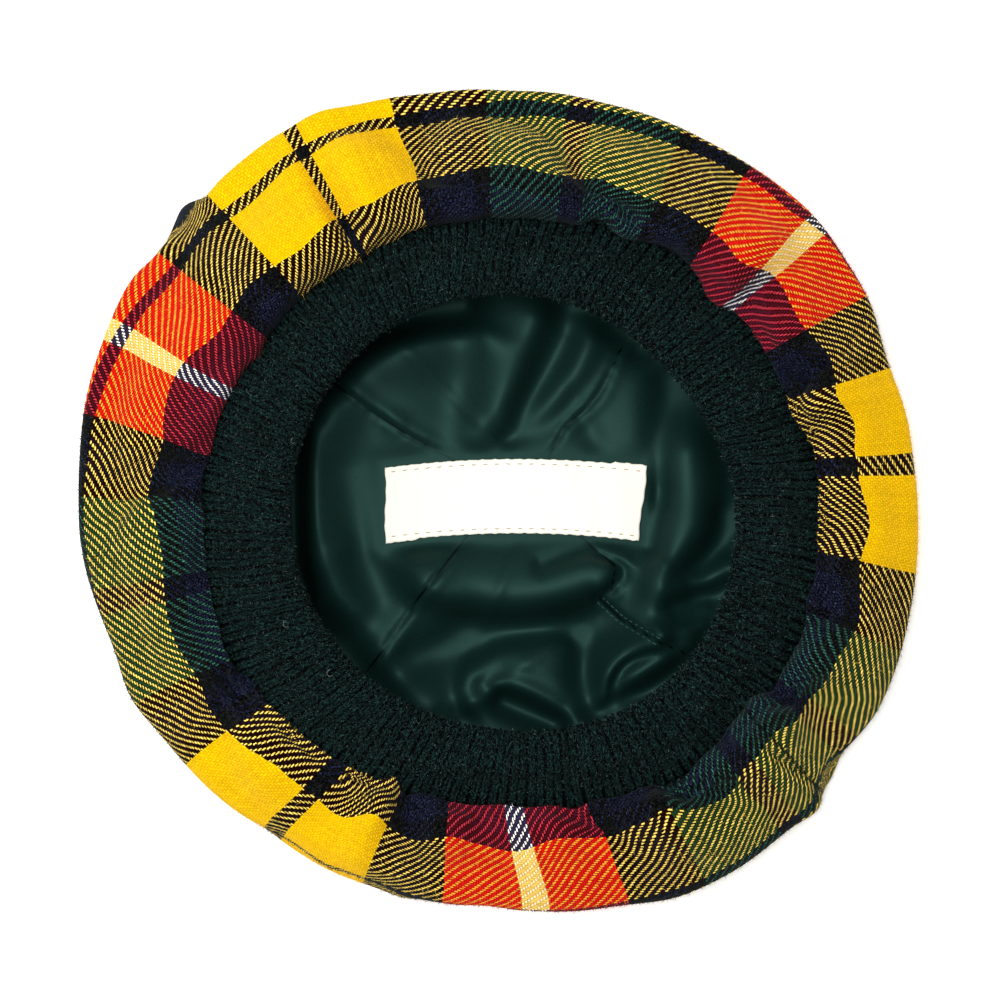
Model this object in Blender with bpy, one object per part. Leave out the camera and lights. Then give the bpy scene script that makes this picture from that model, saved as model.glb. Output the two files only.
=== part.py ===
"""A tam o shanter, the soft tartan cap, lying on its crown with the opening up.

The cap is a bag of wool twill. Its outer edge is gathered to a ribbed band, folded double, that goes
round the head, and a satin lining hangs inside it. It lies as it would by itself on a table: the middle
of the crown is flat on the surface, the rim bulges, and the gathered roll and the band stand above it.

Lengths are in millimetres and angles in degrees, counter-clockwise from +X as seen from above. The
origin is the middle of the flat face that the cap rests on, and +Z is up.
"""

import math

import bmesh
import bpy

MM = 0.001
GAP = 0.3  # between pieces that touch on the real cap

# Crown: wool twill, one thickness
CLOTH = 1.6
FLAT_RADIUS = 104.0  # the part of the crown that lies flat on the surface
SEAM_HEIGHT = 36.0  # where the gathers meet the band
RIM_HEIGHT = 17.0  # where the rim bulges furthest

# Band: two layers of rib knit
BAND_THICKNESS = 6.4
BAND_EDGE_HEIGHT = 51.0  # middle of the free edge

# Lining: satin, one thickness
SATIN = 1.0
LINING_FLOOR = 5.2  # the lining's upper side between its folds
LINING_BELLY = 3.0  # how far it bags outwards under the band
LINING_CORNER = 12.0  # how far inside the seam its side turns into its floor

# Label: woven tape, sewn along its two long edges
LABEL_LENGTH = 80.6
LABEL_WIDTH = 23.2
LABEL_THICKNESS = 1.0
LABEL_CENTRE = (4.4, 0.4)
LABEL_TURN = 0.2
LABEL_HEIGHT = 10.6  # its upper side at the ends
LABEL_BOW = 2.0  # how much higher its middle is
LABEL_GAP = 2 * GAP  # measured at the lining's facets, so that the flat ones between them stay clear too
LABEL_REST = 6.0  # the lining keeps the label's own bow this far past its edges
LABEL_MARGIN = 8.0  # over this further width it takes up its folds again

# Steps round the cap and across each piece
CROWN_STEPS = 108
BAND_STEPS = 84
LINING_STEPS = 54
LINING_RINGS = 8  # over the lining's floor
LABEL_STEPS = 12

# The cap's plan, a row every 20 degrees: how far from the origin the rim, the gathered seam and the
# band's free edge lie, how high the gathered roll stands between seam and rim, and how far the cloth has
# fallen from there on its way to the rim.
PLAN_STEP = 20
PLAN = [  # angle, rim, seam, mouth, crest, fall
    (0, 130.0, 99.0, 72.2, 41.0, 13.0),
    (20, 128.3, 95.3, 68.2, 41.0, 13.0),
    (40, 131.9, 94.4, 65.1, 43.0, 16.0),
    (60, 129.1, 91.5, 64.5, 46.5, 22.0),
    (80, 128.1, 88.3, 63.8, 48.0, 24.0),
    (100, 128.8, 88.1, 63.2, 49.0, 27.0),
    (120, 133.0, 87.7, 62.9, 49.0, 23.0),
    (140, 133.9, 88.9, 62.9, 48.5, 23.0),
    (160, 133.4, 90.9, 63.5, 46.5, 21.0),
    (180, 131.6, 92.5, 64.8, 44.0, 16.0),
    (200, 128.8, 95.0, 65.7, 43.0, 14.0),
    (220, 128.0, 95.9, 67.3, 41.5, 13.0),
    (240, 126.3, 95.6, 68.5, 41.5, 13.0),
    (260, 127.2, 94.7, 69.8, 43.0, 14.0),
    (280, 129.7, 96.2, 72.2, 43.0, 14.0),
    (300, 136.1, 100.8, 75.0, 44.0, 15.0),
    (320, 135.9, 102.1, 76.0, 46.0, 18.0),
    (340, 133.4, 101.3, 74.7, 43.0, 14.0),
]
RIM, SEAM, MOUTH, CREST, FALL = 1, 2, 3, 4, 5
RIM_KNOT = 7  # the knot of the crown's section that lies on the rim
LEVEL_FALL = 13.0  # a fall at which the roll slopes evenly to the rim

# Where the rim bulges or draws in between the rows of the plan.
RIM_LUMPS = [  # angle, half width in degrees, mm outwards
    (12, 5.0, 1.0),
    (28, 5.0, 1.2),
    (115, 4.0, 1.0),
    (130, 5.0, -1.4),
    (145, 3.0, -2.0),
    (173, 6.0, -1.3),
    (208, 5.0, 2.0),
    (246, 11.0, 2.2),
    (268, 4.0, -1.2),
    (294, 5.0, 1.1),
    (316, 3.0, 2.4),
    (325, 4.0, -1.6),
]

# The main folds that run out from the gathered seam: a depth below zero is a furrow and above zero a
# swelling. Reach is the share of the way from the seam to the rim, and lean how many degrees the fold
# turns on that way.
FOLD_START = 0.12  # the share of the way over which a fold grows from nothing
FOLD_FADE = 1.2
CROWN_FOLDS = [  # angle, half width in degrees, depth, reach, lean
    (3, 4.0, 1.2, 0.45, 0),
    (12.5, 3.0, -3.0, 0.40, -2),
    (16.5, 3.0, 3.6, 0.45, 0),
    (20.5, 3.0, -4.4, 0.50, 7),
    (31, 5.0, 2.6, 0.60, 0),
    (40.5, 3.0, -4.4, 0.70, -3),
    (45, 3.6, 4.4, 0.50, 0),
    (64, 4.5, -5.0, 0.90, 25),
    (82, 5.0, 2.2, 0.60, 0),
    (92, 3.5, -4.5, 0.80, 20),
    (106, 4.0, -2.8, 0.80, -6),
    (113, 4.5, 3.0, 0.90, 3),
    (119.5, 3.0, -6.0, 0.95, 0),
    (128, 5.5, 3.0, 0.90, 0),
    (149, 3.5, 2.8, 0.50, 0),
    (158, 4.5, -2.6, 0.65, 3),
    (169, 3.2, 3.4, 0.50, 6),
    (173, 4.0, -5.0, 1.00, 12),
    (189, 6.5, 2.8, 0.80, 0),
    (203, 4.0, -1.6, 0.50, 0),
    (214.5, 4.0, -5.5, 0.65, 3),
    (229, 6.5, 3.0, 0.80, 0),
    (243.5, 3.0, -4.0, 0.60, -2),
    (248, 3.0, 4.4, 0.45, 0),
    (251, 3.0, -4.0, 0.55, 10),
    (262, 4.5, 2.8, 0.60, 0),
    (271, 4.0, -2.2, 0.55, 0),
    (280, 4.5, 2.6, 0.60, 0),
    (284, 3.0, -4.4, 0.60, 14),
    (297, 3.0, 4.5, 0.70, 3),
    (300, 3.2, -5.5, 0.65, 16),
    (312, 4.0, 2.6, 0.50, 3),
    (319, 3.0, 5.0, 0.45, 1),
    (323.5, 3.0, -6.0, 0.65, 10),
    (333, 4.0, 2.6, 0.60, 3),
    (341, 3.0, -4.0, 0.55, 0),
    (350, 4.0, 2.4, 0.50, 0),
    (356, 3.0, -2.6, 0.45, 0),
]

# The lining's soft folds, each a straight ridge between two points.
LINING_FOLDS = [  # x, y, x, y, height, half width
    (-2, 20, 26, 52, 4.5, 8),
    (24, 30, 52, 20, 2.5, 9),
    (-50, 34, -22, 14, 2.0, 8),
    (-58, -6, -40, -30, 2.5, 9),
    (-38, -20, -12, -60, 3.0, 10),
    (-14, -26, 22, -46, 5.0, 9),
    (12, -62, 50, -44, 4.0, 9),
    (34, -16, 50, -46, 5.0, 8),
    (52, -20, 74, -30, 4.5, 9),
]


def around(column, angle):
    """A column of the plan at any angle, on a smooth closed curve through its rows."""
    at = angle % 360 / PLAN_STEP
    row, part = int(at), at - int(at)
    a, b, c, d = (PLAN[(row + k) % len(PLAN)][column] for k in (-1, 0, 1, 2))
    return b + part * (c - a + part * (2 * a - 5 * b + 4 * c - d + part * (3 * b - a - 3 * c + d))) / 2


def smooth_path(knots, steps_between):
    """Points on a smooth curve through the knots, with that many steps from each knot to the next."""
    points = []
    for k, steps in enumerate(steps_between):
        a, b = knots[max(k - 1, 0)], knots[k]
        c, d = knots[k + 1], knots[min(k + 2, len(knots) - 1)]
        for step in range(steps):
            t = step / steps
            points.append(
                tuple(
                    q + t * (r - p + t * (2 * p - 5 * q + 4 * r - s + t * (3 * q - p - 3 * r + s))) / 2
                    for p, q, r, s in zip(a, b, c, d)
                )
            )
    return [*points, knots[-1]]


def angle_between(a, b):
    """How far angle a is past angle b, from -180 to 180."""
    return (a - b + 180) % 360 - 180


def rim_lump(angle):
    """How far the rim stands out from the plan's smooth line."""
    return sum(high * math.exp(-((angle_between(angle, at) / half) ** 2)) for at, half, high in RIM_LUMPS)


def crown_relief(angle, out):
    """How far the folds raise the roll at an angle, where out is 0 at the seam and 1 at the rim."""
    total = 0.0
    for centre, half_width, depth, reach, lean in CROWN_FOLDS:
        across = angle_between(angle, centre + lean * out) / half_width
        along = min(1.0, out / FOLD_START) * math.exp(-((max(out, 0.0) / reach) ** 2) * FOLD_FADE)
        total += depth * math.exp(-across * across) * along
    return total


def crown_section(angle):
    """The outer side of the crown from its gathered edge, over the roll and the rim, to the flat face."""
    seam, crest, fall = around(SEAM, angle), around(CREST, angle), around(FALL, angle)
    rim = around(RIM, angle) + rim_lump(angle)
    ring, steeper = rim - seam, fall - LEVEL_FALL
    knots = [  # radius, height
        (seam + 0.8, SEAM_HEIGHT - 3.0),  # the gathered edge, inside the cap
        (seam, SEAM_HEIGHT + 2.0),  # the seam
        (seam + 2.5, crest - 1.6),  # the roll's steep inner side
        (seam + 8.0, crest),  # the roll's top
        (seam + 0.52 * ring, crest - 4.5 - 0.45 * steeper),
        (seam + 0.80 * ring, crest - fall),
        (rim - 1.2, RIM_HEIGHT + 6.0 - 0.15 * steeper),
        (rim, RIM_HEIGHT),  # furthest out
        (rim - 2.6, RIM_HEIGHT - 9.5),
        (rim - 9.5, 2.0),  # where the cloth turns under
        (FLAT_RADIUS + 7.0, 0.15),
        (FLAT_RADIUS, 0.0),  # the edge of the flat face
    ]
    path = smooth_path(knots, [1] * (len(knots) - 1))
    section = []
    for k, (radius, height) in enumerate(path):
        before, after = path[max(k - 1, 0)], path[min(k + 1, len(path) - 1)]
        along = (after[0] - before[0], after[1] - before[1])
        length = math.hypot(*along)
        out = (radius - seam) / ring if k < RIM_KNOT else 1.0 + (RIM_HEIGHT - height) / ring
        rise = crown_relief(angle, out) if 0 < k < len(path) - 2 else 0.0
        section.append((radius - rise * along[1] / length, height + rise * along[0] / length))
    return section


def band_section(angle):
    """The band's outline at an angle: down its upper side to the free edge and back along its under side."""
    outer, inner = around(SEAM, angle) - GAP, around(MOUTH, angle)
    half = BAND_THICKNESS / 2
    middle = smooth_path(
        [
            (outer - half, SEAM_HEIGHT),
            (outer - 9.0, SEAM_HEIGHT + 4.8),
            ((outer + inner) / 2, SEAM_HEIGHT + 9.3),
            (inner + half, BAND_EDGE_HEIGHT - half),
        ],
        [1, 1, 1],
    )
    slope = math.atan2(middle[-1][1] - middle[-2][1], middle[-1][0] - middle[-2][0])
    outline = [(r + half * 0.25, z + half) for r, z in middle]
    outline += [
        (middle[-1][0] + half * math.cos(slope + turn), middle[-1][1] + half * math.sin(slope + turn))
        for turn in (-0.8, 0.0, 0.8)
    ]
    outline += [(r + half * 0.1, z - half) for r, z in reversed(middle)]
    outline.append((outer, SEAM_HEIGHT))
    return outline


def lining_height(x, y):
    """The lining's upper side over the crown's floor: folds, calmed to a gentle bow under the label."""
    height = LINING_FLOOR
    for x0, y0, x1, y1, fold, half_width in LINING_FOLDS:
        dx, dy = x1 - x0, y1 - y0
        share = min(1.0, max(0.0, ((x - x0) * dx + (y - y0) * dy) / (dx * dx + dy * dy)))
        away = math.hypot(x - x0 - share * dx, y - y0 - share * dy) / half_width
        height += fold * math.exp(-away * away)
    turn = math.radians(LABEL_TURN)
    dx, dy = x - LABEL_CENTRE[0], y - LABEL_CENTRE[1]
    along, across = dx * math.cos(turn) + dy * math.sin(turn), dy * math.cos(turn) - dx * math.sin(turn)
    beyond = math.hypot(
        max(0.0, abs(along) - LABEL_LENGTH / 2 - LABEL_REST),
        max(0.0, abs(across) - LABEL_WIDTH / 2 - LABEL_REST),
    )
    calm = math.exp(-((beyond / LABEL_MARGIN) ** 2))
    return height + calm * (label_height(along) - LABEL_THICKNESS - LABEL_GAP - height)


def label_height(along):
    """The label's upper side at a distance from its middle, along its length."""
    return LABEL_HEIGHT + LABEL_BOW * max(0.0, 1 - (2 * along / LABEL_LENGTH) ** 2)


def lining_section(angle):
    """The upper side of the lining from the seam, down under the band and in to the middle."""
    seam = around(SEAM, angle)
    corner = seam - LINING_CORNER
    top = SEAM_HEIGHT - BAND_THICKNESS / 2 - GAP
    section = [
        (seam - 3.4, top - 0.3),
        (seam + LINING_BELLY - 1.0, top - 9.0),
        (seam + LINING_BELLY, top - 17.0),
        (seam - 3.0, top - 24.0),
    ]
    for ring in range(LINING_RINGS, 0, -1):
        share = ring / LINING_RINGS
        radius = corner * share
        x, y = radius * math.cos(math.radians(angle)), radius * math.sin(math.radians(angle))
        section.append((radius, lining_height(x, y)))
    return section


def add_piece(name, mesh, colour, roughness):
    """One named object with its own material."""
    material = bpy.data.materials.new(name + " finish")
    material.use_nodes = True
    shader = next(n for n in material.node_tree.nodes if n.type == "BSDF_PRINCIPLED")
    shader.inputs["Base Color"].default_value = (*colour, 1)
    shader.inputs["Roughness"].default_value = roughness
    shader.inputs["Metallic"].default_value = 0
    mesh.materials.append(material)
    mesh.shade_smooth()
    piece = bpy.data.objects.new(name, mesh)
    bpy.context.scene.collection.objects.link(piece)
    return piece


def turned_mesh(name, section_at, steps, inwards, closed_section=False, closed_middle=False):
    """A surface through the same number of section points at each step round the cap.

    The last points may meet on one face in the middle, or the section may be a closed loop. Inwards is
    whether the section starts by running inwards along the side that shows, which turns its faces.
    """
    mesh = bmesh.new()
    rings = []
    for step in range(steps):
        angle = 360 * step / steps
        cos, sin = math.cos(math.radians(angle)), math.sin(math.radians(angle))
        rings.append([mesh.verts.new((r * cos * MM, r * sin * MM, z * MM)) for r, z in section_at(angle)])
    count = len(rings[0])
    spans = count if closed_section else count - 1
    for step in range(steps):
        here, after = rings[step], rings[(step + 1) % steps]
        for k in range(spans):
            following = (k + 1) % count
            mesh.faces.new((here[k], here[following], after[following], after[k]))
    if closed_middle:
        mesh.faces.new([ring[-1] for ring in reversed(rings)])
    if inwards:
        bmesh.ops.reverse_faces(mesh, faces=mesh.faces)
    mesh.normal_update()
    data = bpy.data.meshes.new(name)
    mesh.to_mesh(data)
    mesh.free()
    return data


def thicken(piece, thickness):
    """Give a single surface its cloth's thickness, on the side away from where its faces point."""
    solidify = piece.modifiers.new("cloth thickness", "SOLIDIFY")
    solidify.thickness = thickness * MM
    solidify.offset = -1
    solidify.use_even_offset = False
    solidify.use_rim = True


def make_crown():
    mesh = turned_mesh("crown", crown_section, CROWN_STEPS, inwards=False, closed_middle=True)
    crown = add_piece("crown", mesh, (0.45, 0.28, 0.02), 0.9)
    thicken(crown, CLOTH)


def make_headband():
    mesh = turned_mesh("headband", band_section, BAND_STEPS, inwards=True, closed_section=True)
    add_piece("headband", mesh, (0.004, 0.022, 0.018), 0.95)


def make_lining():
    mesh = turned_mesh("lining", lining_section, LINING_STEPS, inwards=True, closed_middle=True)
    lining = add_piece("lining", mesh, (0.006, 0.05, 0.04), 0.35)
    thicken(lining, SATIN)


def make_label():
    """A thin bowed strip, a closed box of LABEL_STEPS pieces along its length."""
    mesh = bmesh.new()
    turn = math.radians(LABEL_TURN)
    loops = []
    for step in range(LABEL_STEPS + 1):
        along = LABEL_LENGTH * (step / LABEL_STEPS - 0.5)
        loop = []
        for across, drop in ((-0.5, 0), (0.5, 0), (0.5, LABEL_THICKNESS), (-0.5, LABEL_THICKNESS)):
            side = across * LABEL_WIDTH
            x = LABEL_CENTRE[0] + along * math.cos(turn) - side * math.sin(turn)
            y = LABEL_CENTRE[1] + along * math.sin(turn) + side * math.cos(turn)
            loop.append(mesh.verts.new((x * MM, y * MM, (label_height(along) - drop) * MM)))
        loops.append(loop)
    for here, after in zip(loops, loops[1:]):
        for k in range(4):
            following = (k + 1) % 4
            mesh.faces.new((here[k], after[k], after[following], here[following]))
    mesh.faces.new(loops[0])
    mesh.faces.new(reversed(loops[-1]))
    bmesh.ops.recalc_face_normals(mesh, faces=mesh.faces)
    data = bpy.data.meshes.new("label")
    mesh.to_mesh(data)
    mesh.free()
    add_piece("label", data, (0.9, 0.86, 0.75), 0.7)


def main():
    for thing in list(bpy.data.objects):
        bpy.data.objects.remove(thing, do_unlink=True)
    make_crown()
    make_headband()
    make_lining()
    make_label()


main()
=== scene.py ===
# %% [markdown]
# # A tam o shanter, lying on its crown
#
# The tam o shanter is a soft cap: a bag of checked wool twill, gathered to a ribbed band that goes round
# the head, with a satin lining inside. Here it lies on its crown, so we look into it from above.
# This lesson builds it piece by piece, in the order in which a cap maker handles them: the crown, its
# check, the knitted band, the lining and the label. Then come the table, the lights and the camera.
# Lengths are in millimetres until a mesh is made, and angles are in degrees, counter-clockwise from +X.

# %% Load the frame
import math

import bpy
import numpy as np
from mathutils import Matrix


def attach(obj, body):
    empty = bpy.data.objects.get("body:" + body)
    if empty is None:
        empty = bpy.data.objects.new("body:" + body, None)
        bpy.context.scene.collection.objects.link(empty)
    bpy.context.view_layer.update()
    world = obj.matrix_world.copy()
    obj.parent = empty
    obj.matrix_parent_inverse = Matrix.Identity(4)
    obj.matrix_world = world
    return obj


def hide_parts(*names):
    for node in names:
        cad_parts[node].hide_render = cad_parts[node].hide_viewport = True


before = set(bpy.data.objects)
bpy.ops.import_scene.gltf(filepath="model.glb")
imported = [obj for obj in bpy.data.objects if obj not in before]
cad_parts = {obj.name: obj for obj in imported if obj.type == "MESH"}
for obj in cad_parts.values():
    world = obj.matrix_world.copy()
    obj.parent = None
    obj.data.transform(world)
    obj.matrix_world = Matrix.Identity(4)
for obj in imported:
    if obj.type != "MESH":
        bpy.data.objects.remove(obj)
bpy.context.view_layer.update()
MM = 0.001
SEED = 7
print("nodes:", list(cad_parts))

# %% [markdown]
# ## Small helpers
#
# A shader or a geometry tree is a few dozen nodes, and each is added in the same way: its kind, its
# settings, and for each input a number or the node that feeds it. One function does that for every
# node, so a tree reads like a list of steps. Colours are given as hex values, as a dye card would be
# scanned, and one function turns them into the linear light that the renderer works in.


# %% Nodes and colours
def add(tree, kind, inputs=None, **settings):
    """Add a node, set it, and feed its inputs with values, sockets or other nodes.

    A node that feeds an input does so by the first of its outputs that is in use.
    """
    node = tree.nodes.new(kind)
    for name, value in settings.items():
        setattr(node, name, value)
    for key, value in (inputs or {}).items():
        if isinstance(value, bpy.types.Node):
            value = next(socket for socket in value.outputs if socket.enabled)
        if isinstance(value, bpy.types.NodeSocket):
            tree.links.new(value, node.inputs[key])
        else:
            node.inputs[key].default_value = value
    return node


def linear(hex_colour, alpha=1.0):
    """An sRGB hex colour as linear red, green, blue and alpha."""
    parts = [int(hex_colour[k : k + 2], 16) / 255 for k in (1, 3, 5)]
    return (*[p / 12.92 if p <= 0.04045 else ((p + 0.055) / 1.055) ** 2.4 for p in parts], alpha)


def new_material(name):
    """An empty node material and its tree."""
    material = bpy.data.materials.new(name)
    material.use_nodes = True
    material.node_tree.nodes.clear()
    return material, material.node_tree


def add_object(name, data, location=(0, 0, 0)):
    """An object with this mesh, light or camera, in the scene."""
    thing = bpy.data.objects.new(name, data)
    thing.location = location
    bpy.context.scene.collection.objects.link(thing)
    return thing


def give_numbers(mesh, label, values):
    """Store a number, or a direction, on each point of a mesh under a name."""
    values = np.asarray(values, np.float32)
    kind, key = ("FLOAT_VECTOR", "vector") if values.ndim == 2 else ("FLOAT", "value")
    mesh.attributes.new(label, kind, "POINT").data.foreach_set(key, values.ravel())


print("helpers ready; linear #FFCC00 =", [round(v, 3) for v in linear("#FFCC00")])

# %% [markdown]
# ## The cap's plan
#
# The cap isn't round: it was put down by hand, and its rim, its gathered seam and the mouth of its band
# each wander a little. A table with a row every 20 degrees holds these, with the height of the gathered
# roll, how far the cloth falls from there to near the rim, how far the threads lean between rim and
# seam, how strongly the cloth is gathered, the radius at which the first yellow stripe begins, and how
# many degrees the ribs of the band lean from straight outwards, because the band lies a little twisted.
# A smooth closed curve through the rows gives each of them at any angle. Single lumps are added to it.

# %% The plan as a table
PLAN_STEP = 20
PLAN = np.array(
    [  # angle, rim, seam, mouth, crest, fall, lean, gather, yellow, rib lean
        (0, 130.0, 99.0, 72.2, 41.0, 13.0, 1.0, 0.4, 111.5, -2.0),
        (20, 128.3, 95.3, 68.2, 41.0, 13.0, 0.3, 0.5, 108.5, 0.0),
        (40, 131.9, 94.4, 65.1, 43.0, 16.0, -1.0, 0.7, 106.5, 0.0),
        (60, 129.1, 91.5, 64.5, 46.5, 22.0, -3.0, 0.4, 103.0, -5.0),
        (80, 128.1, 88.3, 63.8, 48.0, 24.0, -1.5, 0.3, 101.0, -9.0),
        (100, 128.8, 88.1, 63.2, 49.0, 27.0, -1.0, 0.5, 100.8, -9.0),
        (120, 133.0, 87.7, 62.9, 49.0, 23.0, -0.5, 0.6, 99.5, -7.0),
        (140, 133.9, 88.9, 62.9, 48.5, 23.0, 0.8, 0.5, 99.0, -7.0),
        (160, 133.4, 90.9, 63.5, 46.5, 21.0, 3.0, 0.4, 104.5, -8.0),
        (180, 131.6, 92.5, 64.8, 44.0, 16.0, 1.5, 0.4, 105.5, -9.0),
        (200, 128.8, 95.0, 65.7, 43.0, 14.0, 1.0, 0.4, 106.5, -11.0),
        (220, 128.0, 95.9, 67.3, 41.5, 13.0, 1.5, 0.7, 108.5, -10.0),
        (240, 126.3, 95.6, 68.5, 41.5, 13.0, 3.0, 0.6, 106.0, -9.0),
        (260, 127.2, 94.7, 69.8, 43.0, 14.0, -1.5, 0.8, 105.5, -12.0),
        (280, 129.7, 96.2, 72.2, 43.0, 14.0, -2.6, 0.6, 106.5, -6.0),
        (300, 136.1, 100.8, 75.0, 44.0, 15.0, 0.5, 0.7, 110.0, -5.0),
        (320, 135.9, 102.1, 76.0, 46.0, 18.0, 1.3, 0.7, 113.0, 3.0),
        (340, 133.4, 101.3, 74.7, 43.0, 14.0, 0.5, 0.6, 114.0, -1.0),
    ]
)
RIM, SEAM, MOUTH, CREST, FALL, LEAN, GATHER, YELLOW, RIB_LEAN = range(1, 10)


def smooth_between(a, b, c, d, part):
    """A smooth curve's value a part of the way from b to c. The values before and after them are a and d."""
    bend = 2 * a - 5 * b + 4 * c - d + part * (3 * b - a - 3 * c + d)
    return b + part * (c - a + part * bend) / 2


def around(column, angle):
    """A column of the plan at any angles, on a smooth closed curve through its rows."""
    at = np.asarray(angle, float) % 360 / PLAN_STEP
    row, values = np.floor(at).astype(int), PLAN[:, column]
    beside = (values[(row + k) % len(values)] for k in (-1, 0, 1, 2))
    return smooth_between(*beside, at - row)


def angle_between(a, b):
    """How far angle a is past angle b, from -180 to 180."""
    return (a - b + 180) % 360 - 180


def lumps(table, angle):
    """Rounded lumps added up: each row is an angle, a half width in degrees and a height in mm."""
    return sum(high * np.exp(-((angle_between(angle, middle) / half) ** 2)) for middle, half, high in table)


def smooth_path(knots, steps_between):
    """Points on a smooth curve through the knots. The knots and the points are counted on the first axis."""
    points, last = [], len(knots) - 1
    for k, steps in enumerate(steps_between):
        beside = knots[max(k - 1, 0)], knots[k], knots[k + 1], knots[min(k + 2, last)]
        points += [smooth_between(*beside, part) for part in np.arange(steps) / steps]
    return np.array([*points, knots[-1]])


def section_path(knots, steps_between):
    """Radius and height, each [row, column], of a section with knots of (radius, height) at every angle."""
    return np.moveaxis(smooth_path(np.array(knots).transpose(0, 2, 1), steps_between), -1, 0)


def ring_points(radius, height, angle):
    """Places from a radius, a height and an angle."""
    turn = np.radians(angle)
    return np.stack([radius * np.cos(turn), radius * np.sin(turn), height], -1)


def length_along(points):
    """The length passed at each point of a flat line, or of many lines side by side."""
    steps = np.hypot(*np.moveaxis(np.diff(points, axis=0), -1, 0))
    return np.concatenate([0 * steps[:1], np.cumsum(steps, axis=0)])


everywhere = np.arange(0, 360, 1.0)
print("rim across:", round(float(2 * around(RIM, everywhere).mean()), 1), "mm")

# %% [markdown]
# ## Sheets of cloth as grids
#
# Cloth is woven as a grid, so a grid of points is its natural mesh: one row of points for each line
# round the cap, one column for each line from seam to middle. The grid's own coordinates become the UV
# map, which is what lets a woven check follow every fold. Solidify then gives the sheet its thickness.


# %% From a grid of points to a finished mesh
def grid_object(name, points, uv, closed=True, middle=None):
    """A mesh from points[row, column] in mm and uv[row, column].

    Where the grid closes, uv has one column more. middle is a point that closes the last row, such as the
    middle of a crown.
    """
    rows, columns = points.shape[:2]
    verts = [tuple(p) for p in points.reshape(-1, 3) * MM]
    faces, corners = [], []
    for r in range(rows - 1):
        for c in range(columns if closed else columns - 1):
            n = (c + 1) % columns
            faces.append((r * columns + c, (r + 1) * columns + c, (r + 1) * columns + n, r * columns + n))
            corners += [uv[r, c], uv[r + 1, c], uv[r + 1, c + 1], uv[r, c + 1]]
    if middle is not None:
        verts.append(tuple(np.array(middle) * MM))
        r = rows - 1
        for c in range(columns):
            faces.append((r * columns + c, len(verts) - 1, r * columns + (c + 1) % columns))
            corners += [uv[r, c], (uv[r, c] + uv[r, c + 1]) / 2, uv[r, c + 1]]
    mesh = bpy.data.meshes.new(name)
    mesh.from_pydata(verts, [], faces)
    layer = mesh.uv_layers.new(name="Cloth")
    layer.data.foreach_set("uv", np.array(corners, np.float32).ravel())
    mesh.shade_smooth()
    return add_object(name, mesh)


def made_plain(piece):
    """The object with its modifiers applied: what the viewport shows becomes its own plain mesh."""
    evaluated = piece.evaluated_get(bpy.context.evaluated_depsgraph_get())
    mesh = bpy.data.meshes.new_from_object(evaluated)
    mesh.name = piece.name
    piece.modifiers.clear()
    piece.data = mesh
    mesh.shade_smooth()
    return piece


def give_thickness(piece, thickness):
    """Cloth of a real thickness, on the side away from where the faces point."""
    solidify = piece.modifiers.new("cloth thickness", "SOLIDIFY")
    solidify.thickness = thickness * MM
    solidify.offset = -1
    return made_plain(piece)


def triangles(piece):
    """How many triangles a piece has."""
    piece.data.calc_loop_triangles()
    return len(piece.data.loop_triangles)


def vertex_places(piece):
    """The places of a piece's points, in mm."""
    places = np.empty(len(piece.data.vertices) * 3, np.float32)
    piece.data.vertices.foreach_get("co", places)
    return places.reshape(-1, 3) / MM


print("cloth helpers ready")

# %% [markdown]
# ## The crown
#
# The crown is one strip of tartan twill, joined into a tube by a short seam. One edge is gathered to the
# band. The other lies out of sight on the table. It is taken in by darts here, as many tams are, so that it
# lies flat and meets in the middle. The folds are where the tube has more cloth than room.
# Cloth like this can be draped by a simulation, which finds folds of its own. A section that is swept
# round the plan, with the main folds in a table and small gathers from a rule, lets us put each fold
# where the real cap has it, so that way was chosen.

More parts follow.
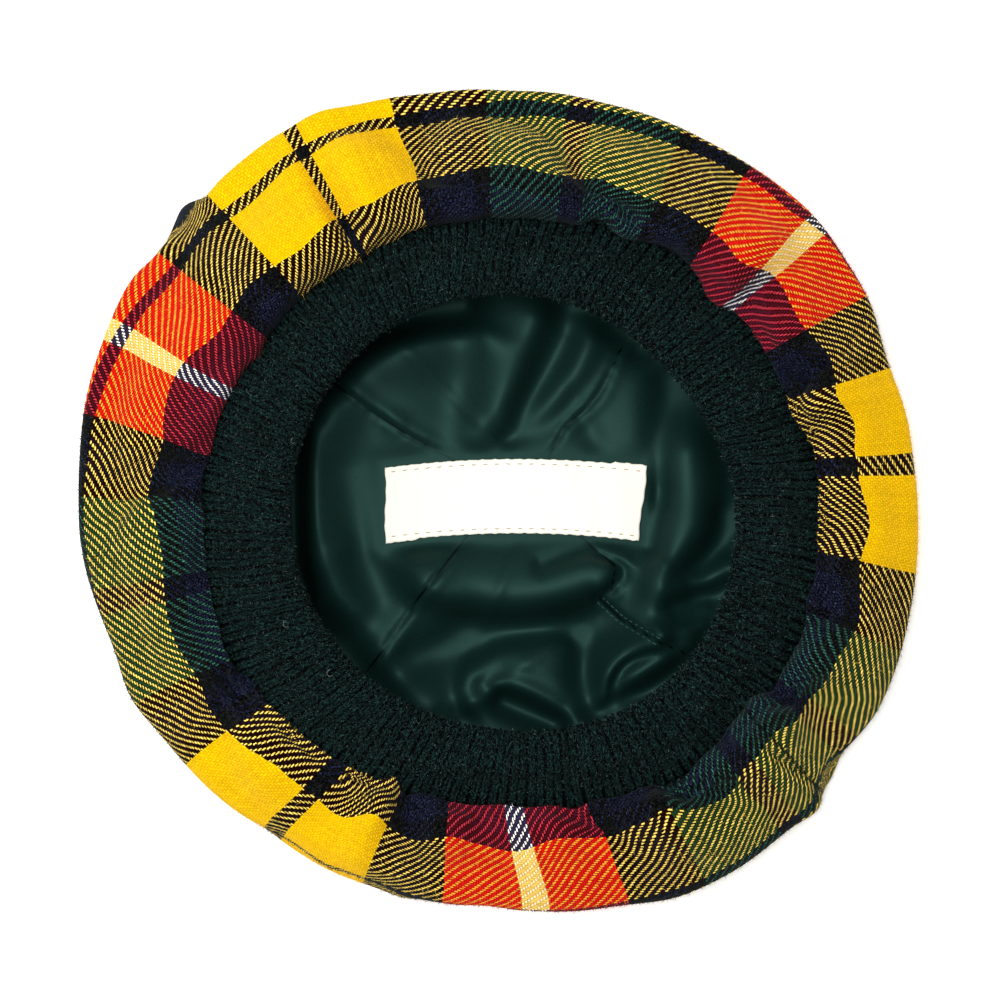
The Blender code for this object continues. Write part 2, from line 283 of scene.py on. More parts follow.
# %% The crown's folds
CROWN_FOLDS = [  # angle at the seam, half width in degrees, depth in mm, reach, lean to the rim, steep side
    (3, 4.0, 1.2, 0.45, 0, 0.0),
    (9, 3.4, 1.2, 0.40, 0, 0.0),
    (12.6, 3.4, -1.8, 0.40, -2, 0.0),
    (16.8, 2.8, 4.0, 0.45, 0, 0.0),
    (20.2, 2.4, -5.0, 0.50, 7, -0.4),
    (31, 5.0, 2.6, 0.60, 0, 0.0),
    (40.5, 2.4, -5.0, 0.70, -3, 0.3),
    (45, 3.6, 4.4, 0.50, 0, 0.0),
    (53, 4.0, 1.5, 0.50, 0, 0.0),
    (64, 4.5, -5.5, 0.90, 25, 0.0),
    (73, 2.2, -3.2, 0.30, 0, 0.0),
    (82, 5.0, 2.2, 0.60, 0, 0.0),
    (92, 3.5, -4.5, 0.80, 20, 0.0),
    (106, 4.0, -2.8, 0.80, -6, 0.0),
    (113, 4.5, 3.0, 0.90, 3, 0.0),
    (119.5, 2.4, -7.0, 0.95, 0, 0.4),
    (128, 5.5, 3.0, 0.90, 0, 0.0),
    (140, 3.0, -1.8, 0.40, 0, 0.0),
    (149, 3.5, 2.8, 0.50, 0, 0.0),
    (158, 4.5, -2.6, 0.65, 3, 0.0),
    (169, 3.2, 3.4, 0.50, 6, 0.0),
    (173, 4.0, -5.0, 1.00, 12, 0.3),
    (189, 6.5, 2.8, 0.80, 0, 0.0),
    (203, 4.0, -1.6, 0.50, 0, 0.0),
    (214.5, 4.0, -6.0, 0.65, 3, -0.4),
    (229, 6.5, 3.0, 0.80, 0, 0.0),
    (243.5, 3.2, -3.4, 0.60, -2, 0.0),
    (248, 2.8, 5.0, 0.45, 0, 0.0),
    (251.5, 3.0, -3.6, 0.55, 10, -0.2),
    (262, 4.5, 2.8, 0.60, 0, 0.0),
    (266, 2.0, -2.4, 0.35, 0, 0.0),
    (271, 4.0, -2.2, 0.55, 0, 0.0),
    (280, 4.5, 2.6, 0.60, 0, 0.0),
    (284, 3.6, -3.6, 0.60, 14, 0.0),
    (291, 4.0, 2.6, 0.35, 0, 0.0),
    (297, 3.0, 4.5, 0.70, 3, 0.0),
    (300, 3.2, -7.0, 0.65, 16, -0.5),
    (312, 4.0, 2.6, 0.50, 3, 0.0),
    (316.6, 0.7, -2.6, 1.50, 1.3, 0.0),
    (319, 3.0, 5.5, 0.45, 1, 0.0),
    (323.5, 2.8, -7.0, 0.65, 10, -0.5),
    (333, 4.0, 2.6, 0.60, 3, 0.0),
    (340.8, 2.8, -4.2, 0.55, 0, -0.3),
    (350, 4.0, 2.4, 0.50, 0, 0.0),
    (356, 4.0, -1.5, 0.45, 0, 0.0),
]
GATHER_FEET = [  # angle, half width in degrees, how many mm further the cloth's foot lies over the band
    (7, 6.0, -1.6), (16.5, 2.4, 1.2), (20.3, 1.3, -2.4), (45, 4.5, 2.8), (57, 5.0, -3.2), (72.5, 2.0, -2.8),
    (97, 2.5, 1.0), (121, 4.0, 1.2), (146, 6.0, 1.4), (178, 3.0, -0.7), (188, 5.0, 0.6), (210, 6.0, -2.2),
    (247.5, 2.0, 2.8), (252.5, 1.6, -1.6), (285, 2.5, -1.3), (302, 4.0, -2.2), (318.5, 5.0, 2.6),
    (325, 2.2, -1.4), (334, 4.5, -1.6),
]  # fmt: skip
RIM_LUMPS = [  # angle, half width in degrees, mm outwards
    (12, 5.0, 1.0), (28, 5.0, 1.2), (115, 4.0, 1.0), (130, 5.0, -1.4), (137, 2.2, 1.8), (145, 3.0, -2.0),
    (173, 6.0, -1.3), (186, 5.0, 0.7), (208, 5.0, 2.0), (246, 11.0, 2.2), (256, 3.0, 1.2), (268, 4.0, -1.2),
    (294, 5.0, 1.1), (316, 3.0, 2.4), (325, 4.0, -1.6),
]  # fmt: skip
LOW_BULGES = [  # angle, half width in degrees, mm by which a low fold stands out below the roll
    (138, 4.5, 4.0), (320.5, 3.4, 3.2), (239, 6.0, 2.4), (252, 8.0, 2.4),
]  # fmt: skip

FOLD_START = 0.12  # the share of the way out at which a fold has its full height
FOLD_FADE = 1.2  # how soon it fades within its reach
VALLEY_FOOT = 0.15  # a valley already has a part of its depth at the seam
VALLEY_PULL = 0.1  # how far a valley draws the cloth in, for each mm of its depth
STRONGEST_PULL = 0.6
NARROWEST_FOLD = 1.3  # half width in degrees below which a fold takes up no cloth


def fold_shape(angle, out, centre, half_width, lean, steep):
    """A fold's shape across: 1 on its line, and steeper on one side than on the other."""
    across = angle_between(angle, centre + lean * out) / half_width
    return np.exp(-((across / (1 - steep * np.tanh(2 * across))) ** 2))


def pinched(angle, out):
    """Angles moved towards the valleys, which take up the cloth that is too much for the seam."""
    moved = angle + 0.0
    for centre, half_width, depth, reach, lean, _ in CROWN_FOLDS:
        if depth < 0:
            across = angle_between(angle, centre + lean * out) / half_width
            pull = min(STRONGEST_PULL, -VALLEY_PULL * depth) * half_width * np.exp(-((out / reach) ** 2))
            moved -= pull * across * np.exp(-across * across)
    return moved


def fold_depth(angle, out):
    """How much cloth the main folds take up: their depth at each angle, less where a fold is narrow."""
    total = np.zeros(np.broadcast(angle, out).shape)
    for centre, half_width, depth, _, lean, steep in CROWN_FOLDS:
        wide = np.clip((half_width - NARROWEST_FOLD) / 2, 0, 1)
        total += wide * depth * fold_shape(angle, out, centre, half_width, lean, steep)
    return total


def fold_relief(angle, out):
    """How far the main folds raise the cloth: each grows from the seam and fades within its reach."""
    total = np.zeros(np.broadcast(angle, out).shape)
    for centre, half_width, depth, reach, lean, steep in CROWN_FOLDS:
        foot = 0.0 if depth > 0 else VALLEY_FOOT
        fade = np.exp(-((np.maximum(out, 0) / reach) ** 2) * FOLD_FADE)
        along = np.clip(out / FOLD_START + foot, 0, 1) * fade
        total += depth * fold_shape(angle, out, centre, half_width, lean, steep) * along
    return total


print(len(CROWN_FOLDS), "main folds")

# %% [markdown]
# Between the main folds the seam is drawn in by many small gathers, 3.5 to 7 degrees wide. Each is a
# rounded ridge with a sharp valley on both sides, and it dies out within a centimetre or two of the
# seam. A few long waves added up stand for the slight unevenness that any used cloth has.

# %% Small gathers and unevenness
GATHER_WIDTH = (3.5, 7.0)  # degrees
GATHER_HEIGHT = (0.8, 2.0)  # mm
GATHER_REACH = (0.12, 0.30)  # share of the way out
GATHER_ROUNDNESS = 0.7  # below 1 a ridge is broader than its valleys
GATHER_VALLEY = 0.45  # how much of a gather's height lies below the smooth cloth
WAVES = 9


def make_gathers():
    """Angles of the valleys round the seam, and the height and reach of the ridge after each."""
    draw = np.random.default_rng(SEED)
    edges = [0.0]
    while edges[-1] < 360 - GATHER_WIDTH[0]:
        edges.append(edges[-1] + draw.uniform(*GATHER_WIDTH))
    edges = np.array(edges) * 360 / edges[-1]
    count = len(edges) - 1
    return edges, draw.uniform(*GATHER_HEIGHT, count), draw.uniform(*GATHER_REACH, count)


GATHERS = make_gathers()


def gather_relief(angle, out):
    """How far the small gathers raise the cloth at an angle and a share of the way out."""
    edges, heights, reaches = GATHERS
    at = np.asarray(angle) % 360
    k = np.clip(np.searchsorted(edges, at, side="right") - 1, 0, len(heights) - 1)
    share = (at - edges[k]) / (edges[k + 1] - edges[k])
    ridge = np.sin(np.pi * np.clip(share, 0, 1)) ** GATHER_ROUNDNESS - GATHER_VALLEY
    fade = np.clip(out / 0.05 + 0.3, 0, 1) * np.exp(-((np.maximum(out, 0) / reaches[k]) ** 2))
    return around(GATHER, at) * heights[k] * ridge * fade


def uneven(place, height, shortest, longest, seed=SEED):
    """A sum of plane waves in random directions, for lengths of wave between two limits in mm."""
    draw = np.random.default_rng(seed)
    total = 0.0
    for _ in range(WAVES):
        direction = draw.normal(size=3)
        direction *= 2 * np.pi / draw.uniform(shortest, longest) / np.linalg.norm(direction)
        total = total + np.sin(place @ direction + draw.uniform(0, 2 * np.pi))
    return height * total


print(len(GATHERS[1]), "gathers round the seam")

# %% [markdown]
# ## The tartan on the strip
#
# Tartan is woven from one list of coloured stripes, the sett, which is used for both sets of threads.
# So the sett is written as thread counts, as weavers do. Round the cap it repeats a little more than
# three times, and the joining seam is where the strip's two ends meet. Cloth that is gathered by hand
# is a little wider here and narrower there, so a second table says at which angle each group of
# stripes begins, beside the thread that it begins with.

# %% The sett, in thread counts
THREAD = 0.82  # mm from one thread to the next
SETT = [  # colour, threads
    ("green", 35), ("navy", 10), ("green", 35),
    ("black", 7), ("navy", 16), ("black", 7),
    ("yellow", 36), ("black", 7), ("yellow", 36),
    ("black", 7), ("navy", 16), ("black", 7),
    ("red", 31), ("white", 8), ("red", 31),
    ("black", 7), ("navy", 16), ("black", 7),
]  # fmt: skip
REPEAT = sum(count for _, count in SETT)
FIRST_YELLOW = 110  # the thread at which the sett's first yellow stripe begins
STRIPES = np.array(
    [  # angle, thread: where the strip, each group of stripes and the strip's other end lie
        (318.0, 21), (339.0, 80), (349.8, 110), (363.2, 146), (366.8, 153), (378.9, 189),
        (389.3, 219), (399.5, 250), (402.3, 258), (413.2, 289), (423.8, 319), (452.0, 399),
        (465.2, 429), (478.2, 465), (481.0, 472), (494.0, 508), (504.3, 538), (528.5, 608),
        (539.5, 638), (569.0, 718), (580.0, 748), (594.0, 784), (597.5, 791), (610.5, 827),
        (622.0, 857), (633.3, 888), (636.8, 896), (648.0, 927), (658.5, 957), (678.0, 1016),
    ]
)  # fmt: skip
STRIPE_ROUNDNESS = 0.82  # the share of the way out to the rim at which the stripes' angles were taken
STRIP_START, STRIP_END = STRIPES[0, 1], STRIPES[-1, 1]
STRIP_LENGTH = (STRIP_END - STRIP_START) * THREAD
STRIP_WIDTH = 233.0  # as far as any thread of it is used
SEAM_ALLOWANCE = 22.0  # strip that is out of sight below the roll of the gathers
YELLOW_STARTS = 14.5  # mm of cloth from the gathers' edge to the first yellow stripe

print("a repeat is", REPEAT, "threads or", round(REPEAT * THREAD), "mm")
print("the strip is", round(STRIP_LENGTH), "mm long")

# %% [markdown]
# The cloth is built in four steps: its smooth section at each angle, its place on the flat strip, the
# folds that raise it, and the part that lies flat on the table. The way out from the seam is counted in
# shares: 0 at the seam, 1 at the rim, and more on the underside.

# %% The crown's smooth section
CLOTH = 1.6  # mm thick, with its fuzz
FLAT_RADIUS = 104.0  # within which the cloth lies flat on the table
BAND_SLOPE = 0.69  # mm that the band rises for each mm inwards from its seam
SEAM_HEIGHT = 36.0  # of the seam between crown and band
RIM_HEIGHT = 17.0  # at which the rim stands out furthest
LOW_CREST = 41.0  # the least crest in the plan
LEAST_FALL = 13.0  # the least fall in the plan
CROWN_COLUMNS = 560
CROWN_STEPS = (2, 3, 2, 5, 9, 8, 7, 4, 4, 5, 5, 4, 2)  # rows from each knot of the section to the next
FOOT_ROW = sum(CROWN_STEPS[:3])
RIM_ROW = sum(CROWN_STEPS[:9])
FOOT_OVER_BAND = 1.1  # mm by which the gathered cloth's foot lies over the band


def crown_section(angle):
    """Radius and height of the smooth cloth, from the gathered edge over the roll and rim to the floor."""
    rim, seam, crest, fall = (around(c, angle) for c in (RIM, SEAM, CREST, FALL))
    rim = rim + lumps(RIM_LUMPS, angle)
    over = FOOT_OVER_BAND + lumps(GATHER_FEET, angle)
    low = lumps(LOW_BULGES, angle)
    ring, flat, foot = rim - seam, 0 * rim, seam - over
    high, steeper = crest - LOW_CREST, fall - LEAST_FALL
    crest = crest + 1.2 * np.maximum(over - 1.2, 0)
    knots = [
        (seam + 0.8, SEAM_HEIGHT - 3.0 + flat),
        (np.maximum(foot, seam) + 0.8, SEAM_HEIGHT + 1.0 + flat),
        (foot + 0.3, SEAM_HEIGHT + 2.6 + 0.8 * np.maximum(over, 0)),
        (foot, SEAM_HEIGHT + 4.2 + 0.8 * np.maximum(over, 0)),
        (foot + 3.0, crest - 1.3),
        (seam + 8.0 + 0.5 * high, crest),
        (seam + 0.52 * ring, crest - 4.5 - 0.45 * steeper),
        (seam + 0.80 * ring, crest - fall),
        (rim - 1.2 - low, RIM_HEIGHT + 6.0 - 0.15 * steeper),
        (rim - low, RIM_HEIGHT + flat),
        (rim - 2.6 + 0.75 * low, RIM_HEIGHT - 9.5 - 0.8 * low),
        (rim - 9.5 + low, 2.0 - 0.2 * low),
        (FLAT_RADIUS + 7.0 + flat, 0.15 + flat),
        (FLAT_RADIUS + flat, flat),
    ]
    return section_path(knots, CROWN_STEPS)


strip_thread = np.linspace(STRIP_START, STRIP_END, CROWN_COLUMNS + 1)[:-1]
strip_angle = np.interp(strip_thread, STRIPES[:, 1], STRIPES[:, 0])
smooth_radius, smooth_height = crown_section(strip_angle)
print("the section's", len(smooth_radius), "rows reach", smooth_height.max().round(1), "mm up")


# %% Where each point of the cloth lies on the flat strip
TAKE_UP = 1.25  # how far a fold's depth moves the stripes along the cloth
BULGE_CLOTH = 1.3  # mm of cloth that a low bulge of 1 mm takes up; it grows with the square of its size
BULGE_EASED = (1.05, 0.45, 0.4)  # from where on, over how far and which share of that it gives back


def way_out(radius, height, angle):
    """The share of the way from the seam to the rim, and on round the rim by the height that is lost."""
    rim, seam = around(RIM, angle), around(SEAM, angle)
    out = (radius - seam) / (rim - seam)
    out[RIM_ROW + 1 :] = 1 + (RIM_HEIGHT - height[RIM_ROW + 1 :]) / (rim - seam)
    return out


def taken_up(angle, out):
    """The extra mm of cloth that the folds and the low bulges need."""
    fade = np.exp(-((np.maximum(out, 0) / 0.8) ** 4))
    folds = TAKE_UP * fold_depth(angle, out) * np.clip(out / 0.3, 0.1, 1) * fade
    begin, over, share = BULGE_EASED
    bulges = BULGE_CLOTH * lumps(LOW_BULGES, angle) ** 2 * np.clip((out - 0.82) / 0.18, 0, 1)
    return folds + bulges * (1 - share * np.clip((out - begin) / over, 0, 1))


def along_strip(radius, height, start, take_up):
    """Each point's distance in mm across the strip, from where the first yellow stripe begins."""
    down = length_along(np.stack([radius, height], -1))
    seen = slice(FOOT_ROW, RIM_ROW)
    at_yellow = [np.interp(y, radius[seen, c], down[seen, c]) for c, y in enumerate(around(YELLOW, start))]
    return down - at_yellow + YELLOW_STARTS + take_up


out = way_out(smooth_radius, smooth_height, strip_angle)
leaning = around(LEAN, strip_angle) * np.clip(STRIPE_ROUNDNESS - out, 0, 1)
cloth_angle = pinched(strip_angle + leaning, out)
take_up = taken_up(cloth_angle, out)
along = along_strip(smooth_radius, smooth_height, strip_angle, take_up)
print("the folds take up as much as", take_up.max().round(1), "mm of cloth")


# %% Raise the folds
FOLD_STRENGTH = 1.3
RIM_KEPT = 0.85  # share of the folds' height that is left out towards the rim, which keeps its own line
DRAWN_TIGHT = 0.6  # share that is left out where the cloth stands upright over the seam
LONG_WAVES = (0.45, 20, 65)  # height, and shortest and longest wave, in mm
SHORT_WAVES = (0.12, 7, 14)
BAND_ABOVE_SEAM = 1.3  # mm from the seam up to the band's upper side beside it
ABOVE_BAND = 0.9  # mm that cloth over the band keeps clear of it


def raised(radius, height, angle, start, out):
    """The cloth's radius and height with its folds, which move it along its own surface direction."""
    seam, from_seam = around(SEAM, start), np.maximum(out, 0)
    row = np.arange(len(radius))[:, None]
    step_r, step_z = np.gradient(radius, axis=0), np.gradient(height, axis=0)
    length = np.hypot(step_r, step_z)
    place = ring_points(radius, height, angle)
    rise = FOLD_STRENGTH * fold_relief(angle, out) + gather_relief(angle, out)
    rise += uneven(place, *LONG_WAVES) * np.clip(out / 0.3, 0, 1)
    rise *= 1 - RIM_KEPT * np.clip(out / 0.35 - 1.9, 0, 1)
    upright = (step_z / length) ** 2 * np.exp(-((from_seam / 0.25) ** 2))
    rise *= 1 - DRAWN_TIGHT * upright
    rise += uneven(place, *SHORT_WAVES, seed=SEED + 1) * np.exp(-((from_seam / 0.3) ** 2))
    rise *= np.clip((height - 0.2) / 4, 0, 1) * (row > 0)
    radius, height = radius - rise * step_z / length, np.maximum(height + rise * step_r / length, 0)
    lowest = SEAM_HEIGHT + BAND_ABOVE_SEAM + BAND_SLOPE * (seam - radius) + CLOTH + ABOVE_BAND
    over_band = (radius < seam) & (row >= FOOT_ROW)
    return radius, np.where(over_band, np.maximum(height, lowest), height)


radius, height = raised(smooth_radius, smooth_height, cloth_angle, strip_angle, out)
print("with its folds the cloth reaches", height.max().round(1), "mm up")


# %% Lay the rest flat on the table, up to the middle
FLOOR_RADII = (96, 86, 76, 66, 56, 47, 39, 32, 26, 20, 15, 11, 7.5, 4.5, 2.2)
DARTS = 48  # pleats round the middle, where the strip's other edge is drawn in
EASED_FROM = 68.0  # mm from the middle, where the folds' extra cloth has come out of the pattern


def darted(radius, start):
    """The height of the cloth on the table: small pleats towards the middle, nearly none further out."""
    pleat = 2.2 * np.clip((46 - radius) / 20, 0, 1) * np.clip(radius / 12, 0.25, 1)
    pleat += 0.25 * np.clip((100 - radius) / 30, 0, 1)
    return pleat * (0.5 - 0.5 * np.cos(np.radians(start * DARTS)))


floor_radius = np.array(FLOOR_RADII, float)[:, None] + 0 * strip_angle
eased = take_up[-1] * (np.clip((floor_radius - EASED_FROM) / (FLAT_RADIUS - EASED_FROM), 0, 1) - 1)
along = np.concatenate([along, along[-1] + eased + FLAT_RADIUS - floor_radius])
radius = np.concatenate([radius, floor_radius])
height = np.concatenate([height, darted(floor_radius, strip_angle)])
cloth_angle = np.concatenate([cloth_angle, np.repeat(cloth_angle[-1:], len(floor_radius), 0)])

crown_grid = ring_points(radius, height, cloth_angle)
u = np.broadcast_to(np.linspace(0, 1, CROWN_COLUMNS + 1), (len(along), CROWN_COLUMNS + 1))
v = (np.concatenate([along, along[:, :1]], axis=1) + SEAM_ALLOWANCE) / STRIP_WIDTH
crown_uv = np.stack([u, v], -1)
print("crown spans", np.ptp(crown_grid.reshape(-1, 3), axis=0).round(1), "mm")
print("the strip's width runs from", crown_uv[..., 1].min().round(3), "to", crown_uv[..., 1].max().round(3))

# %% [markdown]
# ## The weave
#
# The cloth is a 2/2 twill: each thread passes over two and under two, and each row is set over by one
# thread, so slanting ridges run across it. Where two colours cross, the ridges of both show as a fine
# hatch. A painted check would miss that, so the shader works out for each point of the strip which
# thread lies on top, and takes that thread's colour from the sett.

# %% The tartan's shader
YARN = {
    "yellow": "#FFD500",
    "red": "#E4140A",
    "white": "#FFFAF0",
    "green": "#124839",
    "navy": "#0B1129",
    "black": "#030303",
}
TWILL_REPEAT = 4.0  # threads: over two and under two


def stripe_colour(tree, number):
    """A thread's colour by its number: the sett's stripes are hard-edged steps of a colour ramp."""
    middle = add(tree, "ShaderNodeMath", {0: number, 1: 0.5}, operation="ADD")
    repeats = add(tree, "ShaderNodeMath", {0: middle, 1: REPEAT}, operation="DIVIDE")
    place = add(tree, "ShaderNodeMath", {0: repeats}, operation="FRACT")
    node = add(tree, "ShaderNodeValToRGB", {0: place})
    ramp = node.color_ramp
    ramp.interpolation = "CONSTANT"
    at = 0
    for k, (colour, count) in enumerate(SETT):
        stop = ramp.elements[0] if k == 0 else ramp.elements.new(at / REPEAT)
        stop.color = linear(YARN[colour])
        at += count
    ramp.elements.remove(ramp.elements[-1])
    return node


def thread_numbers(tree, uv):
    """The numbers of the radial thread and of the thread round the cap at a place on the strip."""
    # Spun yarn is never quite straight, so the place wanders by a quarter of a thread.
    wander = add(tree, "ShaderNodeTexNoise", {"Vector": uv, "Scale": STRIP_LENGTH / 1.6, "Detail": 2.0})
    u, v, _ = add(tree, "ShaderNodeSeparateXYZ", {0: uv}).outputs
    first, count = float(STRIP_START), float(STRIP_END - STRIP_START)
    across = add(tree, "ShaderNodeMath", {0: u, 1: count, 2: first}, operation="MULTIPLY_ADD")
    edge = FIRST_YELLOW + REPEAT - (YELLOW_STARTS + SEAM_ALLOWANCE) / THREAD
    along = add(tree, "ShaderNodeMath", {0: v, 1: STRIP_WIDTH / THREAD, 2: edge}, operation="MULTIPLY_ADD")
    across = add(tree, "ShaderNodeMath", {0: wander, 1: 1.0, 2: across}, operation="MULTIPLY_ADD")
    along = add(tree, "ShaderNodeMath", {0: wander, 1: -1.0, 2: along}, operation="MULTIPLY_ADD")
    return across, along


def twill_place(tree, radial, round_it):
    """How far a place is into a repeat of the twill, from the two thread numbers."""
    total = add(tree, "ShaderNodeMath", {0: radial, 1: round_it}, operation="ADD")
    return add(tree, "ShaderNodeMath", {0: total, 1: TWILL_REPEAT}, operation="MODULO")


def float_shape(tree, across, along, i, j, on_top):
    """How high a float of yarn is across it and along it: round across, and dipping at both ends."""
    part_across = add(tree, "ShaderNodeMath", {0: across}, operation="FRACT")
    part_along = add(tree, "ShaderNodeMath", {0: along}, operation="FRACT")
    side = add(tree, "ShaderNodeMix", {0: on_top, 2: part_along, 3: part_across})
    side = add(tree, "ShaderNodeMath", {0: side, 1: math.pi}, operation="MULTIPLY")
    past = add(tree, "ShaderNodeMath", {0: twill_place(tree, across, j), 1: 2.0}, operation="SUBTRACT")
    place = add(tree, "ShaderNodeMix", {0: on_top, 2: past, 3: twill_place(tree, i, along)})
    place = add(tree, "ShaderNodeMath", {0: place, 1: math.pi / 2}, operation="MULTIPLY")
    roundness = add(tree, "ShaderNodeMath", {0: side}, operation="SINE")
    return roundness, add(tree, "ShaderNodeMath", {0: place}, operation="SINE")


print("a repeat of the twill is", TWILL_REPEAT * THREAD, "mm wide")

# %% [markdown]
# Wool threads that lie side by side light each other. Light bounces from thread to thread. Red neighbours
# take green and blue from it, so yellow turns orange beside them. Dark neighbours stop it, so beside them
# a thread's top is paler and its flanks are darker. Loose fibres of red and of white also lie over their
# neighbours, most of all over a pale one. The factors for this were set by comparing colours.
# The light and shade passed between threads is painted into their colour. The loose fibres are their own
# colour.

# %% Painted light passed between threads
COLOUR_LOST = -0.36  # painted bounce light: how much of the colour that the neighbour lacks a thread loses
WHITE_KEEPS = 0.26  # how much less of it white loses
PALE_TOP = 0.24  # painted highlight: how grey a thread's top turns beside a dark neighbour
PAINTED_LIT_TOP = (0.65, -0.25)  # painted highlight at the top of a thread and painted shade on its flanks beside a dark neighbour
# painted shade: red's top is lit less beside a dark neighbour
RED_LESS_LIT = -0.45
# painted shade: the crimson that red turns beside a dark neighbour
RED_IN_PAINTED_SHADE = (0, 0.004, 0.045)
RED_FIBRES = (0.08, 0.004, 0.009)  # colours that loose fibres add
WHITE_FIBRES = (0.03, 0.02, 0.05)
WHITE_OVER_RED = 0.12  # how much bluer the white ones look over a thread with red in it
GREEN_AGAINST_RED = -1.35  # how far green takes a colour's redness away


def brightest(tree, colour):
    """The largest of a colour's three parts."""
    red, green, blue = add(tree, "ShaderNodeSeparateColor", {0: colour}).outputs
    larger = add(tree, "ShaderNodeMath", {0: red, 1: green}, operation="MAXIMUM")
    return add(tree, "ShaderNodeMath", {0: larger, 1: blue}, operation="MAXIMUM")


def redness(tree, red, green):
    """How much a colour's red stands out over its green: little for yellow, and 0 for white."""
    more = add(tree, "ShaderNodeMath", {0: green, 1: GREEN_AGAINST_RED, 2: red}, operation="MULTIPLY_ADD")
    return add(tree, "ShaderNodeMath", {0: more, 1: 0.0}, operation="MAXIMUM")


def painted_light_beside_dark(tree, tinted, most, height, red_top):
    """A thread beside a neighbour of brightness most: its top painted greyer and lighter, its flanks painted
    darker, and red painted crimson.
    """
    alone = add(tree, "ShaderNodeMath", {0: 1.0, 1: most}, operation="SUBTRACT")
    pale = add(tree, "ShaderNodeMath", {0: alone, 1: height}, operation="MULTIPLY")
    pale = add(tree, "ShaderNodeMath", {0: pale, 1: PALE_TOP}, operation="MULTIPLY")
    grey = add(tree, "ShaderNodeRGBToBW", {0: tinted})
    mixed = add(tree, "ShaderNodeMix", {0: pale, 6: tinted, 7: grey}, data_type="RGBA")
    lift = add(tree, "ShaderNodeMath", {0: height, 1: PAINTED_LIT_TOP[0], 2: PAINTED_LIT_TOP[1]}, operation="MULTIPLY_ADD")
    lift = add(tree, "ShaderNodeMath", {0: red_top, 1: RED_LESS_LIT, 2: lift}, operation="MULTIPLY_ADD")
    painted_round_top = add(tree, "ShaderNodeMath", {0: alone, 1: lift, 2: 1.0}, operation="MULTIPLY_ADD")
    mixed = add(tree, "ShaderNodeVectorMath", {0: mixed, "Scale": painted_round_top}, operation="SCALE")
    painted_crimson = add(tree, "ShaderNodeMath", {0: red_top, 1: alone}, operation="MULTIPLY")
    painted_crimson = add(tree, "ShaderNodeVectorMath", {0: RED_IN_PAINTED_SHADE, "Scale": painted_crimson}, operation="SCALE")
    return add(tree, "ShaderNodeVectorMath", {0: mixed, 1: painted_crimson}, operation="ADD")


def neighbour_light(tree, top, under, height):
    """The colour of a thread with the painted light and the loose fibres that its neighbours give it."""
    most = brightest(tree, under)
    own_red, own_green, own_blue = add(tree, "ShaderNodeSeparateColor", {0: top}).outputs
    loss = {0: own_blue, 1: WHITE_KEEPS, 2: COLOUR_LOST}
    loss = add(tree, "ShaderNodeMath", loss, operation="MULTIPLY_ADD")
    missing = add(tree, "ShaderNodeVectorMath", {0: most, 1: under}, operation="SUBTRACT")
    missing = add(tree, "ShaderNodeVectorMath", {0: missing, "Scale": loss}, operation="SCALE")
    kept = add(tree, "ShaderNodeVectorMath", {0: missing, 1: (1, 1, 1)}, operation="ADD")
    tinted = add(tree, "ShaderNodeVectorMath", {0: top, 1: kept}, operation="MULTIPLY")
    mixed = painted_light_beside_dark(tree, tinted, most, height, redness(tree, own_red, own_green))
    red, green, blue = add(tree, "ShaderNodeSeparateColor", {0: under}).outputs
    reds = {0: RED_FIBRES, "Scale": redness(tree, red, green)}
    reds = add(tree, "ShaderNodeVectorMath", reds, operation="SCALE")
    white = {0: own_red, 1: WHITE_OVER_RED, 2: WHITE_FIBRES[2]}
    white = add(tree, "ShaderNodeMath", white, operation="MULTIPLY_ADD")
    white = add(tree, "ShaderNodeCombineXYZ", {0: WHITE_FIBRES[0], 1: WHITE_FIBRES[1], 2: white})
    white = add(tree, "ShaderNodeVectorMath", {0: white, "Scale": blue}, operation="SCALE")
    both = add(tree, "ShaderNodeVectorMath", {0: reds, 1: white}, operation="ADD")
    return add(tree, "ShaderNodeVectorMath", {0: mixed, 1: both}, operation="ADD")


# %% The cloth's colour at a place on the strip
FLOAT_END = 0.12  # a float's height at its ends, as a share of that at its middle
GAP_PAINTED_SHADE = (0.65, 0.33)  # painted shade in a gap: its gain with the darker thread's brightness, and its least light
BOTH_DARK = (-3.0, 1.1)  # turns the brighter thread's brightness into how dark both are
FLOAT_SIDES = (0.48, 0.82)  # roundness at which a float's side begins and ends
FLOAT_ENDS = (0.2, 0.62)  # the same along it
DYE = (0.2, 0.9)  # spread of the threads' shades, and the darkest


